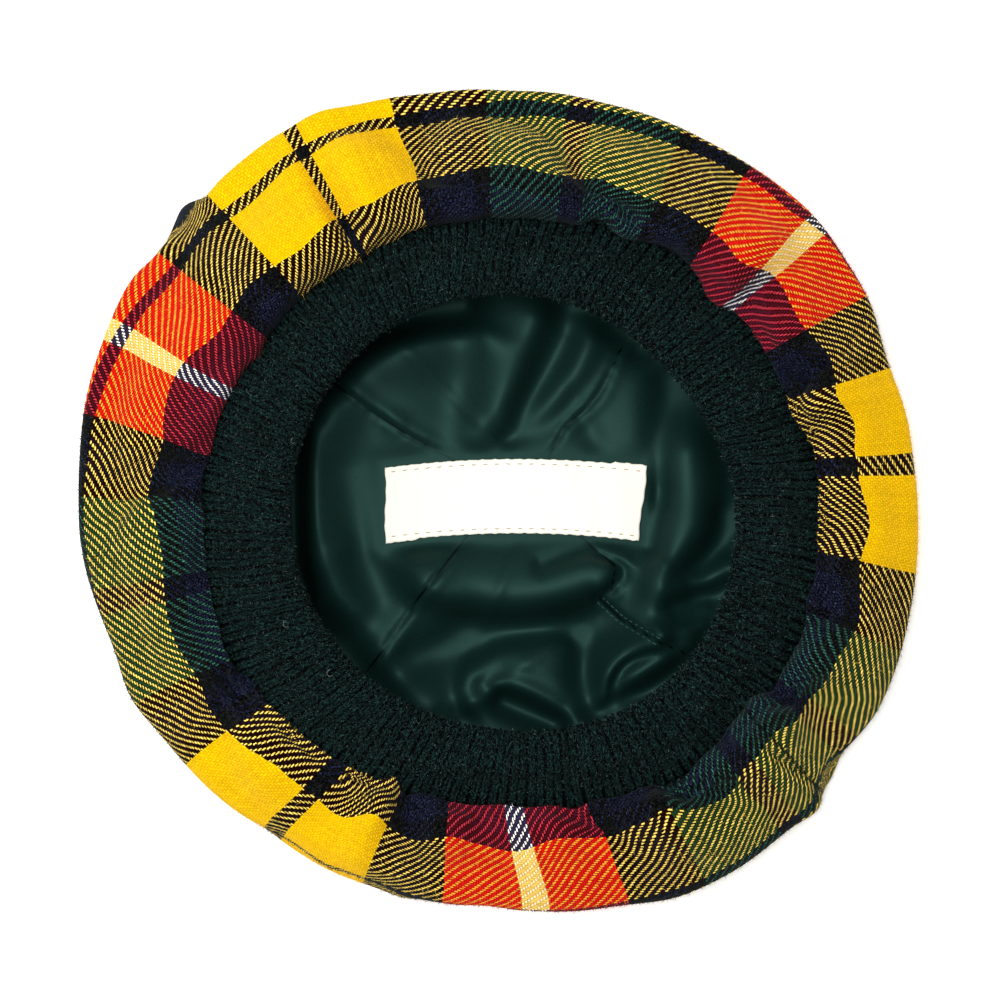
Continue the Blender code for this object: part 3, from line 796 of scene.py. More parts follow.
def tartan_colour(tree, uv):
    """The cloth's colour, the height of its weave and how dark both threads are, at a place on the strip."""
    across, along = thread_numbers(tree, uv)
    i = add(tree, "ShaderNodeMath", {0: across}, operation="FLOOR")
    j = add(tree, "ShaderNodeMath", {0: along}, operation="FLOOR")
    radial, round_it = stripe_colour(tree, i), stripe_colour(tree, j)
    # Over two, under two: where the two thread numbers add up to 0 or 1 more than a multiple of 4, the
    # radial thread is on top.
    on_top = add(tree, "ShaderNodeMath", {0: twill_place(tree, i, j), 1: 1.5}, operation="LESS_THAN")
    top = add(tree, "ShaderNodeMix", {0: on_top, 6: round_it, 7: radial}, data_type="RGBA")
    under = add(tree, "ShaderNodeMix", {0: on_top, 6: radial, 7: round_it}, data_type="RGBA")
    roundness, dip = float_shape(tree, across, along, i, j, on_top)
    arch = add(tree, "ShaderNodeMath", {0: dip, 1: 1 - FLOAT_END, 2: FLOAT_END}, operation="MULTIPLY_ADD")
    height = add(tree, "ShaderNodeMath", {0: roundness, 1: arch}, operation="MULTIPLY")
    # Between the floats the other thread shows, and the darker of the two wins there. The gap is dimmed
    # further, as painted shade.
    gap = add(tree, "ShaderNodeMix", {0: 1.0, 6: top, 7: under}, data_type="RGBA", blend_type="DARKEN")
    bright_top, bright_under = brightest(tree, top), brightest(tree, under)
    darker = add(tree, "ShaderNodeMath", {0: bright_top, 1: bright_under}, operation="MINIMUM")
    light = {0: darker, 1: GAP_PAINTED_SHADE[0], 2: GAP_PAINTED_SHADE[1]}
    light = add(tree, "ShaderNodeMath", light, operation="MULTIPLY_ADD")
    gap = add(tree, "ShaderNodeVectorMath", {0: gap, "Scale": light}, operation="SCALE")
    # Where both are dark, fibres brushed across hide the gaps, so the floats look wider.
    lighter = add(tree, "ShaderNodeMath", {0: bright_top, 1: bright_under}, operation="MAXIMUM")
    dark = {0: lighter, 1: BOTH_DARK[0], 2: BOTH_DARK[1]}
    dark = add(tree, "ShaderNodeMath", dark, operation="MULTIPLY_ADD")
    dark = add(tree, "ShaderNodeMath", {0: dark, 1: 0.0}, operation="MAXIMUM")
    wide = add(tree, "ShaderNodeMath", {0: dark, 1: 0.3, 2: roundness}, operation="MULTIPLY_ADD")
    sides = {0: wide, 1: FLOAT_SIDES[0], 2: FLOAT_SIDES[1]}
    sides = add(tree, "ShaderNodeMapRange", sides, interpolation_type="SMOOTHSTEP")
    ends = {0: dip, 1: FLOAT_ENDS[0], 2: FLOAT_ENDS[1]}
    ends = add(tree, "ShaderNodeMapRange", ends, interpolation_type="SMOOTHSTEP")
    cover = add(tree, "ShaderNodeMath", {0: sides, 1: ends}, operation="MULTIPLY")
    colour = add(tree, "ShaderNodeMix", {0: cover, 6: gap, 7: top}, data_type="RGBA")
    lit = neighbour_light(tree, colour, under, height)
    # No two threads took the dye alike: each is a little lighter or darker than the next.
    round_number = add(tree, "ShaderNodeMath", {0: j, 1: 0.5}, operation="ADD")
    radial_number = add(tree, "ShaderNodeMath", {0: -0.5, 1: i}, operation="SUBTRACT")
    thread = add(tree, "ShaderNodeMix", {0: on_top, 2: round_number, 3: radial_number})
    dye = add(tree, "ShaderNodeTexWhiteNoise", {"W": thread}, noise_dimensions="1D")
    dye = add(tree, "ShaderNodeMath", {0: dye, 1: DYE[0], 2: DYE[1]}, operation="MULTIPLY_ADD")
    return add(tree, "ShaderNodeVectorMath", {0: lit, "Scale": dye}, operation="SCALE"), height, dark


# %% The finished wool, and the crown in it
FIBRE_CLUMP = 0.5 * MM  # loose fibres are far finer, so they are drawn as clumps that show
PALE_DEPTH = 0.45  # how deep the painted shadow between pale threads is
DARK_DEPTH = 0.5  # how much deeper it is between dark ones
TOP_LIGHT = 1.07  # painted brightness of the top of a float
CLOUDY = (0.7, 0.65)  # how much the clumps change the shade, and the darkest
LOOSE = (0.5, 0.72)  # noise at which a clump of loose fibres begins and is full
GLINTS = 1.6  # painted glint: how much brighter the loose fibres are on dark stripes
FLECKS = 0.05  # how much of the cloth's colour they hide there
SEAM_SHADOW = (0.2 / STRIP_LENGTH, 0.9 / STRIP_LENGTH, 0.15)  # painted shade at the strip's seam: from and to how far from it, and how dark


def tartan_wool():
    """Tartan: worsted wool in a 2/2 twill, lightly brushed. Matt, so its colours stay deep in any light."""
    material, tree = new_material("tartan wool twill")
    uv = add(tree, "ShaderNodeUVMap", uv_map="Cloth")
    colour, height, dark = tartan_colour(tree, uv)
    place = add(tree, "ShaderNodeTexCoord").outputs["Object"]
    clumps = {"Vector": place, "Scale": 1 / FIBRE_CLUMP, "Detail": 3.0, "Distortion": 1.6}
    fibres = add(tree, "ShaderNodeTexNoise", clumps)
    # Painted shade: light bounces about between pale threads, and the grooves between dark ones stay black.
    depth = add(tree, "ShaderNodeMath", {0: dark, 1: DARK_DEPTH, 2: PALE_DEPTH}, operation="MULTIPLY_ADD")
    least = add(tree, "ShaderNodeMath", {0: TOP_LIGHT, 1: depth}, operation="SUBTRACT")
    shade = add(tree, "ShaderNodeMath", {0: height, 1: depth, 2: least}, operation="MULTIPLY_ADD")
    # The strip's two ends meet in a plain seam, where both turn down out of the light. That shade is
    # painted.
    ends = add(tree, "ShaderNodeSeparateXYZ", {0: uv})
    ends = add(tree, "ShaderNodeMath", {0: ends, 1: 0.5}, operation="PINGPONG")
    begins, ends_at, darkest = SEAM_SHADOW
    turned = add(tree, "ShaderNodeMapRange", {0: ends, 1: begins, 2: ends_at, 3: darkest})
    shade = add(tree, "ShaderNodeMath", {0: shade, 1: turned}, operation="MULTIPLY")
    cloudy = add(tree, "ShaderNodeMath", {0: fibres, 1: CLOUDY[0], 2: CLOUDY[1]}, operation="MULTIPLY_ADD")
    shade = add(tree, "ShaderNodeMath", {0: shade, 1: cloudy}, operation="MULTIPLY")
    shaded = {0: 1.0, 6: colour, 7: shade}
    colour = add(tree, "ShaderNodeMix", shaded, data_type="RGBA", blend_type="MULTIPLY")
    # Brushing raises loose fibres: they show as pale flecks on the dark stripes, with painted glints where
    # they catch the light.
    loose = {0: fibres, 1: LOOSE[0], 2: LOOSE[1]}
    loose = add(tree, "ShaderNodeMapRange", loose, interpolation_type="SMOOTHSTEP")
    loose = add(tree, "ShaderNodeMath", {0: loose, 1: dark}, operation="MULTIPLY")
    twice = add(tree, "ShaderNodeMath", {0: fibres, 1: 2.0}, operation="MULTIPLY")
    contrast = add(tree, "ShaderNodeMath", {0: dark, 1: 3.0}, operation="MULTIPLY")
    bright = add(tree, "ShaderNodeMath", {0: twice, 1: contrast}, operation="POWER")
    painted_glints = add(tree, "ShaderNodeMath", {0: loose, 1: GLINTS}, operation="MULTIPLY")
    bright = add(tree, "ShaderNodeMath", {0: bright, 1: painted_glints}, operation="ADD")
    colour = add(tree, "ShaderNodeVectorMath", {0: colour, "Scale": bright}, operation="SCALE")
    flecks = add(tree, "ShaderNodeMath", {0: loose, 1: FLECKS}, operation="MULTIPLY")
    colour = add(tree, "ShaderNodeMix", {0: flecks, 6: colour, 7: linear("#B4BCC0")}, data_type="RGBA")
    relief = add(tree, "ShaderNodeMath", {0: fibres, 1: 0.5, 2: height}, operation="MULTIPLY_ADD")
    bump = add(tree, "ShaderNodeBump", {"Strength": 0.6, "Distance": 0.3 * MM, "Height": relief})
    matt = {"Roughness": 0.95, "Specular IOR Level": 0.03}
    sheen = {"Sheen Weight": 0.04, "Sheen Roughness": 0.4, "Sheen Tint": linear("#C8E0D8")}
    shader = add(tree, "ShaderNodeBsdfPrincipled", {"Base Color": colour, "Normal": bump, **matt, **sheen})
    add(tree, "ShaderNodeOutputMaterial", {0: shader})
    return material


tartan = tartan_wool()
CROWN_MIDDLE = (0, 0, 0.6)
crown = grid_object("tartan_crown", crown_grid, crown_uv, middle=CROWN_MIDDLE)
crown.data.materials.append(tartan)
give_thickness(crown, CLOTH)
print("crown:", triangles(crown), "triangles")

# %% [markdown]
# ## Repeating things with Geometry Nodes
#
# Ribs, knit stitches, sewing stitches and fuzz are all one small shape many times over, on points that
# follow a rule. That is what Geometry Nodes are for. One helper starts a tree with named inputs, one runs
# it on a piece and turns the result into a plain mesh, and one puts a shape on every point, turned to the
# two directions that are stored there.

# %% Start and run a geometry tree
SOCKETS = {float: "NodeSocketFloat", int: "NodeSocketInt"}


def new_tree(name, **inputs):
    """An empty geometry tree with a piece going in and out, and named inputs with their usual values."""
    tree = bpy.data.node_groups.new(name, "GeometryNodeTree")
    tree.interface.new_socket("Piece", in_out="INPUT", socket_type="NodeSocketGeometry")
    for label, value in inputs.items():
        socket = tree.interface.new_socket(label, in_out="INPUT", socket_type=SOCKETS[type(value)])
        socket.default_value = value
    tree.interface.new_socket("Piece", in_out="OUTPUT", socket_type="NodeSocketGeometry")
    return tree, add(tree, "NodeGroupInput").outputs


def finish_tree(tree, geometry, material):
    """Realise the instances, give the material and end the tree."""
    real = add(tree, "GeometryNodeRealizeInstances", {0: geometry})
    coloured = add(tree, "GeometryNodeSetMaterial", {0: real, "Material": material})
    add(tree, "NodeGroupOutput", {0: coloured})
    return tree


def run_tree(piece, tree, **inputs):
    """Run a tree on a piece with these inputs, and keep the result as a plain mesh."""
    modifier = piece.modifiers.new(tree.name, "NODES")
    modifier.node_group = tree
    for socket in tree.interface.items_tree:
        if socket.in_out == "INPUT" and socket.name in inputs:
            modifier[socket.identifier] = inputs[socket.name]
    return made_plain(piece)


def points_object(name, places, **numbers):
    """Loose points in mm, with named numbers or directions on each."""
    mesh = bpy.data.meshes.new(name)
    mesh.from_pydata([tuple(p) for p in places * MM], [], [])
    for label, values in numbers.items():
        give_numbers(mesh, label, values)
    return add_object(name, mesh)


def on_each_point(tree, given, shape, wobble, scale=(1, 1, 1)):
    """Put a shape on every point, turned to its directions and then by chance up to wobble, in radians."""
    up = add(tree, "GeometryNodeInputNamedAttribute", {0: "outward"}, data_type="FLOAT_VECTOR")
    ahead = add(tree, "GeometryNodeInputNamedAttribute", {0: "lengthwise"}, data_type="FLOAT_VECTOR")
    turned = add(tree, "FunctionNodeAxesToRotation", {0: up, 1: ahead}, primary_axis="Z", secondary_axis="X")
    limits = {0: [-angle for angle in wobble], 1: wobble, "Seed": given["Seed"]}
    chance = add(tree, "FunctionNodeRandomValue", limits, data_type="FLOAT_VECTOR")
    turn = add(tree, "FunctionNodeRotateRotation", {0: turned, 1: chance}, rotation_space="LOCAL")
    placing = {0: given["Piece"], 2: shape, "Rotation": turn, "Scale": scale}
    return add(tree, "GeometryNodeInstanceOnPoints", placing)


print("tree helpers ready")

# %% [markdown]
# ## The headband
#
# The band is knitted in rib: pairs of stitch columns, called wales, stand forward, and the knit draws
# together until they hide the pairs that lie back. It is folded double, so its free edge is a round
# fold. There are 97 ribs round it. A smooth ring gives its shape, and a tree raises the ribs on it.

# %% The band's ring
RIBS = 97
BAND_THICKNESS = 6.4
BAND_EDGE_HEIGHT = 51.0
RIB_COLUMNS = 10  # columns of the ring for each rib
BAND_COLUMNS = RIBS * RIB_COLUMNS
BAND_WAVE = 0.7  # mm by which the band's height wanders
RIB_SWAY = 0.5  # degrees by which a rib wanders at its free end
BAND_STEPS = (2, 5, 7, 7, 4, 3, 3, 4, 4, 3)


def band_section(angle, at_mouth):
    """Radius and height of the ring, from under the gathers over the free edge and back below."""
    outer, inner = around(SEAM, angle) - 0.3, around(MOUTH, at_mouth)
    half = BAND_THICKNESS / 2 - 0.6  # the ribs raised on it make up the rest
    wave = BAND_WAVE * np.sin(np.radians(7 * angle)) * np.sin(np.radians(4 * angle))
    knots = [
        (outer, SEAM_HEIGHT + 0 * wave),
        (outer - 1.2, SEAM_HEIGHT + half - 0.8 + 0 * wave),
        (outer - 9.0, SEAM_HEIGHT + 4.6 + half + wave),
        ((outer + inner) / 2, SEAM_HEIGHT + 9.1 + half + wave),
        (inner + half + 2.0, BAND_EDGE_HEIGHT - 1.2 + wave),
        (inner + 1.1, BAND_EDGE_HEIGHT - 2.4 + wave),
        (inner + 0.6, BAND_EDGE_HEIGHT - half - 1.4 + wave),
        (inner + 2.0, BAND_EDGE_HEIGHT - 2 * half - 0.4 + wave),
        ((outer + inner) / 2, SEAM_HEIGHT + 9.1 - half + wave),
        (outer - 9.0, SEAM_HEIGHT + 4.6 - half + wave),
        (outer - 2.2, SEAM_HEIGHT - half + 0.4 + wave),
    ]
    return section_path(knots, BAND_STEPS)


def band_lines(angle):
    """Points along the ribs that start at these angles at the seam. They lean as the band is twisted."""
    lean, seam = np.tan(np.radians(around(RIB_LEAN, angle))), around(SEAM, angle)
    at_mouth = angle - np.degrees(lean * (seam - around(MOUTH, angle)) / seam)
    radius, height = band_section(angle, at_mouth)
    sway = RIB_SWAY * np.sin(np.radians(13 * angle) + radius / 6) * (seam - radius) / 25
    return ring_points(radius, height, angle + np.degrees(lean * (radius - seam) / radius) + sway)


band_angle = np.arange(BAND_COLUMNS) * 360 / BAND_COLUMNS
band_grid = band_lines(band_angle)
rows = len(band_grid)
band_uv = np.stack(np.meshgrid(np.linspace(0, 1, BAND_COLUMNS + 1), np.linspace(0, 1, rows)), -1)
band = grid_object("rib_headband", band_grid, band_uv)
band.data.flip_normals()
rib_place = np.tile(np.arange(BAND_COLUMNS) * RIBS / BAND_COLUMNS, rows)  # a point's place round it, in ribs
give_numbers(band.data, "rib", rib_place)
print("ring of", BAND_COLUMNS, "columns by", rows, "rows")

# %% [markdown]
# A rib is 10 columns of the ring wide. Within it the two wales are two round arches, with a deep groove
# beside them and a shallow one between them. Each point of the ring knows its place round it, in ribs.
# The tree works the arches' height out from that and moves the point along the surface's own direction.

# %% Raise the ribs
WALE_MIDDLE = 0.27  # ribs from a rib's edge to the middle of its first wale
GROOVE_DEPTH = 0.6  # how much of an arch's height lies below the smooth ring
WEAR_SCALE = 70.0  # flattened patches to the metre


def rib_tree(material):
    """Move each point of the ring outwards by the height of a pair of wales."""
    tree, given = new_tree("raise ribs", Height=0.0014, Wale=0.235)
    rib = add(tree, "GeometryNodeInputNamedAttribute", {0: "rib"}, data_type="FLOAT")
    share = add(tree, "ShaderNodeMath", {0: rib}, operation="FRACT")
    from_edge = add(tree, "ShaderNodeMath", {0: share, 1: 0.5}, operation="PINGPONG")
    wale = add(tree, "ShaderNodeMath", {0: from_edge, 1: WALE_MIDDLE}, operation="SUBTRACT")
    wale = add(tree, "ShaderNodeMath", {0: wale}, operation="ABSOLUTE")
    across = add(tree, "ShaderNodeMath", {0: wale, 1: given["Wale"]}, operation="DIVIDE")
    # The arch is half a circle: the root of 1 less the square of the way across it.
    square = add(tree, "ShaderNodeMath", {0: across, 1: across}, operation="MULTIPLY")
    arch = add(tree, "ShaderNodeMath", {0: square, 1: -1.0, 2: 1.0}, operation="MULTIPLY_ADD")
    arch = add(tree, "ShaderNodeMath", {0: arch, 1: 0.0}, operation="MAXIMUM")
    arch = add(tree, "ShaderNodeMath", {0: arch}, operation="SQRT")
    arch = add(tree, "ShaderNodeMath", {0: arch, 1: GROOVE_DEPTH}, operation="SUBTRACT")
    # Steam and wear have flattened the ribs here and there.
    worn = add(tree, "ShaderNodeTexNoise", {"Scale": WEAR_SCALE, "Detail": 1.0})
    worn = add(tree, "ShaderNodeMath", {0: worn, 1: 2.0}, operation="MULTIPLY")
    tall = add(tree, "ShaderNodeMath", {0: given["Height"], 1: worn}, operation="MULTIPLY")
    rise = add(tree, "ShaderNodeMath", {0: arch, 1: tall}, operation="MULTIPLY")
    outward = add(tree, "GeometryNodeInputNormal")
    offset = add(tree, "ShaderNodeVectorMath", {0: outward, "Scale": rise}, operation="SCALE")
    moved = add(tree, "GeometryNodeSetPosition", {0: given["Piece"], "Offset": offset})
    return finish_tree(tree, moved, material)


def rib_wool(name, dark, pale):
    """Rib knit: woollen-spun lambswool. Its fleece was dyed before spinning, so it has paler flecks."""
    material, tree = new_material(name)
    place = add(tree, "ShaderNodeTexCoord").outputs["Object"]
    # A fleck is a few fibres together, about half a millimetre wide and curled, so the noise is distorted.
    fleck = {"Vector": place, "Scale": 1 / (0.65 * MM), "Detail": 4.0, "Distortion": 1.8}
    flecks = add(tree, "ShaderNodeTexNoise", fleck)
    ramp = add(tree, "ShaderNodeValToRGB", {0: flecks})
    for stop, (position, colour) in zip(ramp.color_ramp.elements, ((0.5, dark), (0.66, pale))):
        stop.position, stop.color = position, linear(colour)
    bump = add(tree, "ShaderNodeBump", {"Strength": 0.7, "Distance": 0.25 * MM, "Height": flecks})
    wool = {"Base Color": ramp, "Roughness": 0.95, "Normal": bump, "Specular IOR Level": 0.08}
    shader = add(tree, "ShaderNodeBsdfPrincipled", wool)
    add(tree, "ShaderNodeOutputMaterial", {0: shader})
    return material


# The ring shows only between the stitches, so its wool is painted darker than theirs, as shade.
shaded_ground_wool = rib_wool("bottle green lambswool, ground in painted shade", "#000101", "#040D0B")
stitch_wool = rib_wool("bottle green lambswool, stitches", "#000101", "#20423E")
run_tree(band, rib_tree(shaded_ground_wool))
print("band:", triangles(band), "triangles")

# %% [markdown]
# Each stitch of a wale is a V of yarn that sits in the V below it. So a point is put on every second
# millimetre of every wale, turned to the surface and to the wale, and a V of two bent legs goes on each.

# %% Knit the stitches
COURSE = 2.05  # mm from one stitch to the next along a wale
STITCH_RISE = 0.45  # mm from the ring to the middle of the yarn
USUAL_WALE = 2.6  # mm, the width at which a stitch has its named size
WALES = 2 * RIBS
LAST_BAND_STEP = sum(BAND_STEPS[:8])


def unit(vectors):
    """The vectors at a length of 1."""
    return vectors / np.linalg.norm(vectors, axis=-1, keepdims=True)


def upright(lengthwise):
    """The direction across a line that points up as far as it can."""
    return unit(np.cross(lengthwise, np.cross((0, 0, 1), lengthwise)))


def stitch_places():
    """Places, outward and lengthwise directions and sizes of all the band's visible stitches."""
    rib = np.arange(RIBS)
    angle = np.concatenate([(rib + at) * 360 / RIBS for at in (WALE_MIDDLE, 1 - WALE_MIDDLE)])
    lines = band_lines(angle)[: LAST_BAND_STEP + 1]
    down = np.cumsum(np.linalg.norm(np.diff(lines, axis=0), axis=-1), axis=0)
    places, outward, lengthwise, size = [], [], [], []
    for w in range(len(angle)):
        line, far = lines[:, w], np.concatenate([[0], down[:, w]])
        at = np.arange(1.0, far[-1], COURSE)
        middle = np.stack([np.interp(at, far, line[:, k]) for k in range(3)], -1)
        ahead = np.stack([np.interp(at + 0.5, far, line[:, k]) for k in range(3)], -1)
        along = unit(ahead - middle + 1e-9)
        sideways = np.stack([-middle[:, 1], middle[:, 0], 0 * at], -1)
        out = unit(np.cross(sideways, along))
        places.append(middle + out * STITCH_RISE)
        outward.append(out)
        lengthwise.append(along)
        size.append(np.hypot(middle[:, 0], middle[:, 1]) * 2 * np.pi / WALES / USUAL_WALE)
    return [np.concatenate(part) for part in (places, outward, lengthwise, size)]


def stitch_tree(material):
    """A V of two yarn legs on every point, turned to its directions, each a little different."""
    tree, given = new_tree("knit stitches", Width=0.00072, Length=0.0029, Yarn=0.00050, Seed=SEED)
    # A place on a leg is given in shares of the stitch's length, width and length.
    box = add(tree, "ShaderNodeCombineXYZ", {0: given["Length"], 1: given["Width"], 2: given["Length"]})
    foot = add(tree, "ShaderNodeVectorMath", {0: box, 1: (-0.5, 0, 0)}, operation="MULTIPLY")
    legs = add(tree, "GeometryNodeJoinGeometry")
    for hand in (-1, 1):
        knee = add(tree, "ShaderNodeVectorMath", {0: box, 1: (0.05, 0.8 * hand, 0.22)}, operation="MULTIPLY")
        toe = add(tree, "ShaderNodeVectorMath", {0: box, 1: (0.5, 0.95 * hand, 0)}, operation="MULTIPLY")
        bend = {"Resolution": 2, "Start": foot, "Start Handle": knee, "End Handle": knee, "End": toe}
        leg = add(tree, "GeometryNodeCurvePrimitiveBezierSegment", bend)
        tree.links.new(leg.outputs[0], legs.inputs[0])
    circle = add(tree, "GeometryNodeCurvePrimitiveCircle", {"Resolution": 4, "Radius": given["Yarn"]})
    yarn = add(tree, "GeometryNodeCurveToMesh", {0: legs, 1: circle})
    size = add(tree, "GeometryNodeInputNamedAttribute", {0: "size"}, data_type="FLOAT")
    scale = add(tree, "ShaderNodeCombineXYZ", {0: 1.0, 1: size, 2: 1.0})
    return finish_tree(tree, on_each_point(tree, given, yarn, (0.35, 0.3, 0.3), scale), material)


places, outward, lengthwise, size = stitch_places()
knit = points_object("knit_stitches", places, outward=outward, lengthwise=lengthwise, size=size)
run_tree(knit, stitch_tree(stitch_wool))
print(len(places), "stitches,", triangles(knit), "triangles")

# %% [markdown]
# ## The lining
#
# The lining is four wedges of satin, sewn together in the middle, and its edge is caught in the seam of
# the band. It is larger than the space, so it lies in soft folds with a hollow beside each. A table of
# curved ridges and hollows draws them, each with its height, its width and how much steeper one side is.

# %% The lining's folds and seams
SATIN = 0.5  # mm thick
LINING_FLOOR = 10.5  # height at which the satin rests between its folds
LINING_EDGE = 3.6
LINING_COLUMNS = 380
LINING_STEPS = (5, 5, 5, 5)
LINING_ROWS = 74  # from where the satin comes to rest to its middle
LINING_REST = 12.0  # mm from the band's seam inwards to where it comes to rest
LINING_SETTLES = 9.0  # mm from there to where its folds have their full height
LINING_SPREAD = 220.0  # mm that its UV map covers
FOLD_SOFTNESS = 1.4  # how much wider than in the table the folds are, because satin bends softly
LINING_FOLDS = [  # three points on the fold's line (x, y each), height, half width, lean to its left
    (10, 56, 3, 38, -4, 20, 6.5, 6.0, 0.45),
    (21, 51, 12, 35, 0, 20, -4.5, 4.0, 0.0),
    (27, 50, 18, 34, 5, 23, 3.5, 4.5, 0.2),
    (22, 32, 14, 25, 2, 19, -1.8, 3.0, 0.0),
    (27, 24, 29, 18, 30, 13, -1.5, 3.0, 0.0),
    (53, 36, 50, 18, 47, 2, -4.6, 4.2, 0.0),
    (47, 2, 45, -11, 39, -23, -4.4, 4.0, 0.0),
    (60, 14, 61, -3, 52, -26, 7.0, 7.5, 0.3),
    (52, -24, 50, -33, 48, -41, 4.5, 5.0, 0.0),
    (50, 58, 66, 40, 76, 8, -8.0, 11.0, 0.0),
    (72, -6, 68, -15, 58, -24, -8.0, 4.0, 0.0),
    (71, -21, 65, -24.5, 58, -27, 4.5, 2.6, 0.0),
    (70, -29, 63, -31.5, 55, -34, -6.0, 3.5, 0.0),
    (50, -41, 56, -40.5, 63, -39, 3.0, 1.8, 0.0),
    (53, -37, 58, -35, 64, -34, 2.5, 2.0, 0.0),
    (32, -29.5, 41, -36.5, 50, -42, 2.2, 2.2, -0.5),
    (31, -17, 38.5, -22.5, 31, -30.5, -3.5, 1.4, 0.0),
    (-22, -26, 4, -31, 34, -23, 8.5, 7.0, -0.45),
    (13, -20, 19, -17.5, 25, -15.5, -2.5, 2.2, 0.0),
    (-8, -39, 12, -41.5, 31, -37, -6.5, 6.5, 0.0),
    (-27, -50, -15, -46, -3, -52, -5.5, 5.0, 0.0),
    (-9, -62, -4, -51, 20, -46.5, 5.5, 4.0, 0.3),
    (0, -57, 12, -60, 25, -69.5, 5.5, 4.0, -0.4),
    (-5, -57.5, 6, -54.5, 20, -63, -1.6, 2.2, 0.0),
    (1, -63.5, 8, -66.5, 17, -70, -8.0, 3.0, 0.0),
    (25, -44, 27, -56, 29, -66, -7.0, 4.0, 0.0),
    (31.5, -61, 36, -50.5, 49, -45, 5.5, 2.6, -0.4),
    (36, -57, 41, -50.5, 49, -47, -3.0, 1.6, 0.0),
    (38, -57.5, 47, -52, 58, -44, 6.0, 3.6, -0.2),
    (40, -60.5, 47, -59, 55, -54, -5.0, 3.0, 0.0),
    (-58, 20, -57.5, -5, -57.5, -30, 6.5, 5.0, -0.5),
    (-64, 20, -64.5, -5, -63, -30, -8.0, 3.0, 0.0),
    (-51, 8, -46, -10, -38, -31, -3.0, 5.5, 0.0),
    (-52, -16, -51, -25, -46, -34, 2.5, 4.0, 0.0),
    (-61, -30, -52, -44, -38, -59, -7.0, 6.0, 0.0),
    (-52, 33, -38, 45, -6, 51, 5.0, 5.0, 0.5),
    (-54, 38, -40, 53, -12, 61, -8.0, 4.5, 0.0),
    (22, 60, 34, 56, 44, 48, -4.0, 4.0, 0.0),
    (-30, 46, -31, 33, -27, 20, 1.8, 7.0, 0.0),
    (-12, 50, -12, 33, -15, 17, -2.2, 6.0, 0.0),
    (-49, 37, -40, 31, -33, 25, 1.5, 3.0, 0.0),
    (-36, -50, -30, -57, -22, -64, 3.0, 5.0, 0.0),
    (-18, -52, -13, -58, -12, -66, -3.0, 5.0, 0.0),
]
SEAM_GROOVE = 0.8  # mm
SEAM_RIDGE = 0.5
PUCKER = 0.12
PUCKER_LENGTH = 4.2
SEAM_REACH = 5.0  # mm, as far as the distance to a seam is told
LINING_SEAMS = [  # points along each seam
    [(-56, 40), (-49.6, 34.7), (-40.6, 27.8), (-29.6, 20.8), (-20.7, 15.8), (-6, 8)],
    [(44, 57), (38.6, 48.7), (31.2, 33.7), (27.2, 28.7), (20.2, 22.8), (15, 13), (12, 6)],
    [(-6, -6), (-17.5, -20.5), (-25, -30), (-35, -44.5), (-44, -57)],
    [(24, -10), (28, -14), (36, -20.5), (35, -28), (31, -31), (38, -37.5), (49, -44), (58, -48)],
]


def nearest_on(x, y, line):
    """Distance to a line of points, how much of that is to its left, and the length passed along it."""
    best, left, share = np.full(x.shape, np.inf), np.zeros(x.shape), np.zeros(x.shape)
    line = np.asarray(line, float)
    passed = length_along(line)
    for k, ((ax, ay), (bx, by)) in enumerate(zip(line[:-1], line[1:])):
        dx, dy = bx - ax, by - ay
        length = math.hypot(dx, dy)
        t = np.clip(((x - ax) * dx + (y - ay) * dy) / length**2, 0, 1)
        away = np.hypot(x - ax - t * dx, y - ay - t * dy)
        nearer = away < best
        left = np.where(nearer, (dx * (y - ay) - dy * (x - ax)) / length, left)
        share = np.where(nearer, passed[k] + t * length, share)
        best = np.where(nearer, away, best)
    return best, left, share


def bowed(x0, y0, x1, y1, x2, y2, points=14):
    """Points on the curve from the first point to the third that passes through the second."""
    t = np.linspace(0, 1, points)[:, None]
    first, middle, last = (np.array(p, float) for p in ((x0, y0), (x1, y1), (x2, y2)))
    knee = 2 * middle - (first + last) / 2
    return (1 - t) ** 2 * first + 2 * t * (1 - t) * knee + t**2 * last


def fold_heights(x, y):
    """How far the folds and hollows move the satin from its resting height."""
    total = 0 * x
    for *points, height, half_width, lean in LINING_FOLDS:
        away, left, _ = nearest_on(x, y, bowed(*points))
        width = FOLD_SOFTNESS * half_width * (1 - lean * np.tanh(left / half_width))
        total = total + height * np.exp(-((away / width) ** 2))
    return total


def seam_heights(x, y):
    """The groove of each seam, the soft ridge beside it, and the small puckers that its stitches draw."""
    total = 0 * x
    for line in LINING_SEAMS:
        away, left, passed = nearest_on(x, y, line)
        pucker = PUCKER * np.sin(passed * 2 * np.pi / PUCKER_LENGTH) * np.exp(-((away / 2.2) ** 2))
        groove = SEAM_GROOVE * np.exp(-((away / 1.0) ** 2))
        ridge = SEAM_RIDGE * np.exp(-(((left - 2.4) / 2.0) ** 2))
        total = total - groove + ridge + pucker
    return total


def seam_distance(x, y):
    """Distance in mm to the nearest seam, for the dark line that the seam shows."""
    nearest = np.full(x.shape, SEAM_REACH)
    for line in LINING_SEAMS:
        nearest = np.minimum(nearest, nearest_on(x, y, line)[0])
    return nearest


print(len(LINING_FOLDS), "folds and hollows,", len(LINING_SEAMS), "seams")

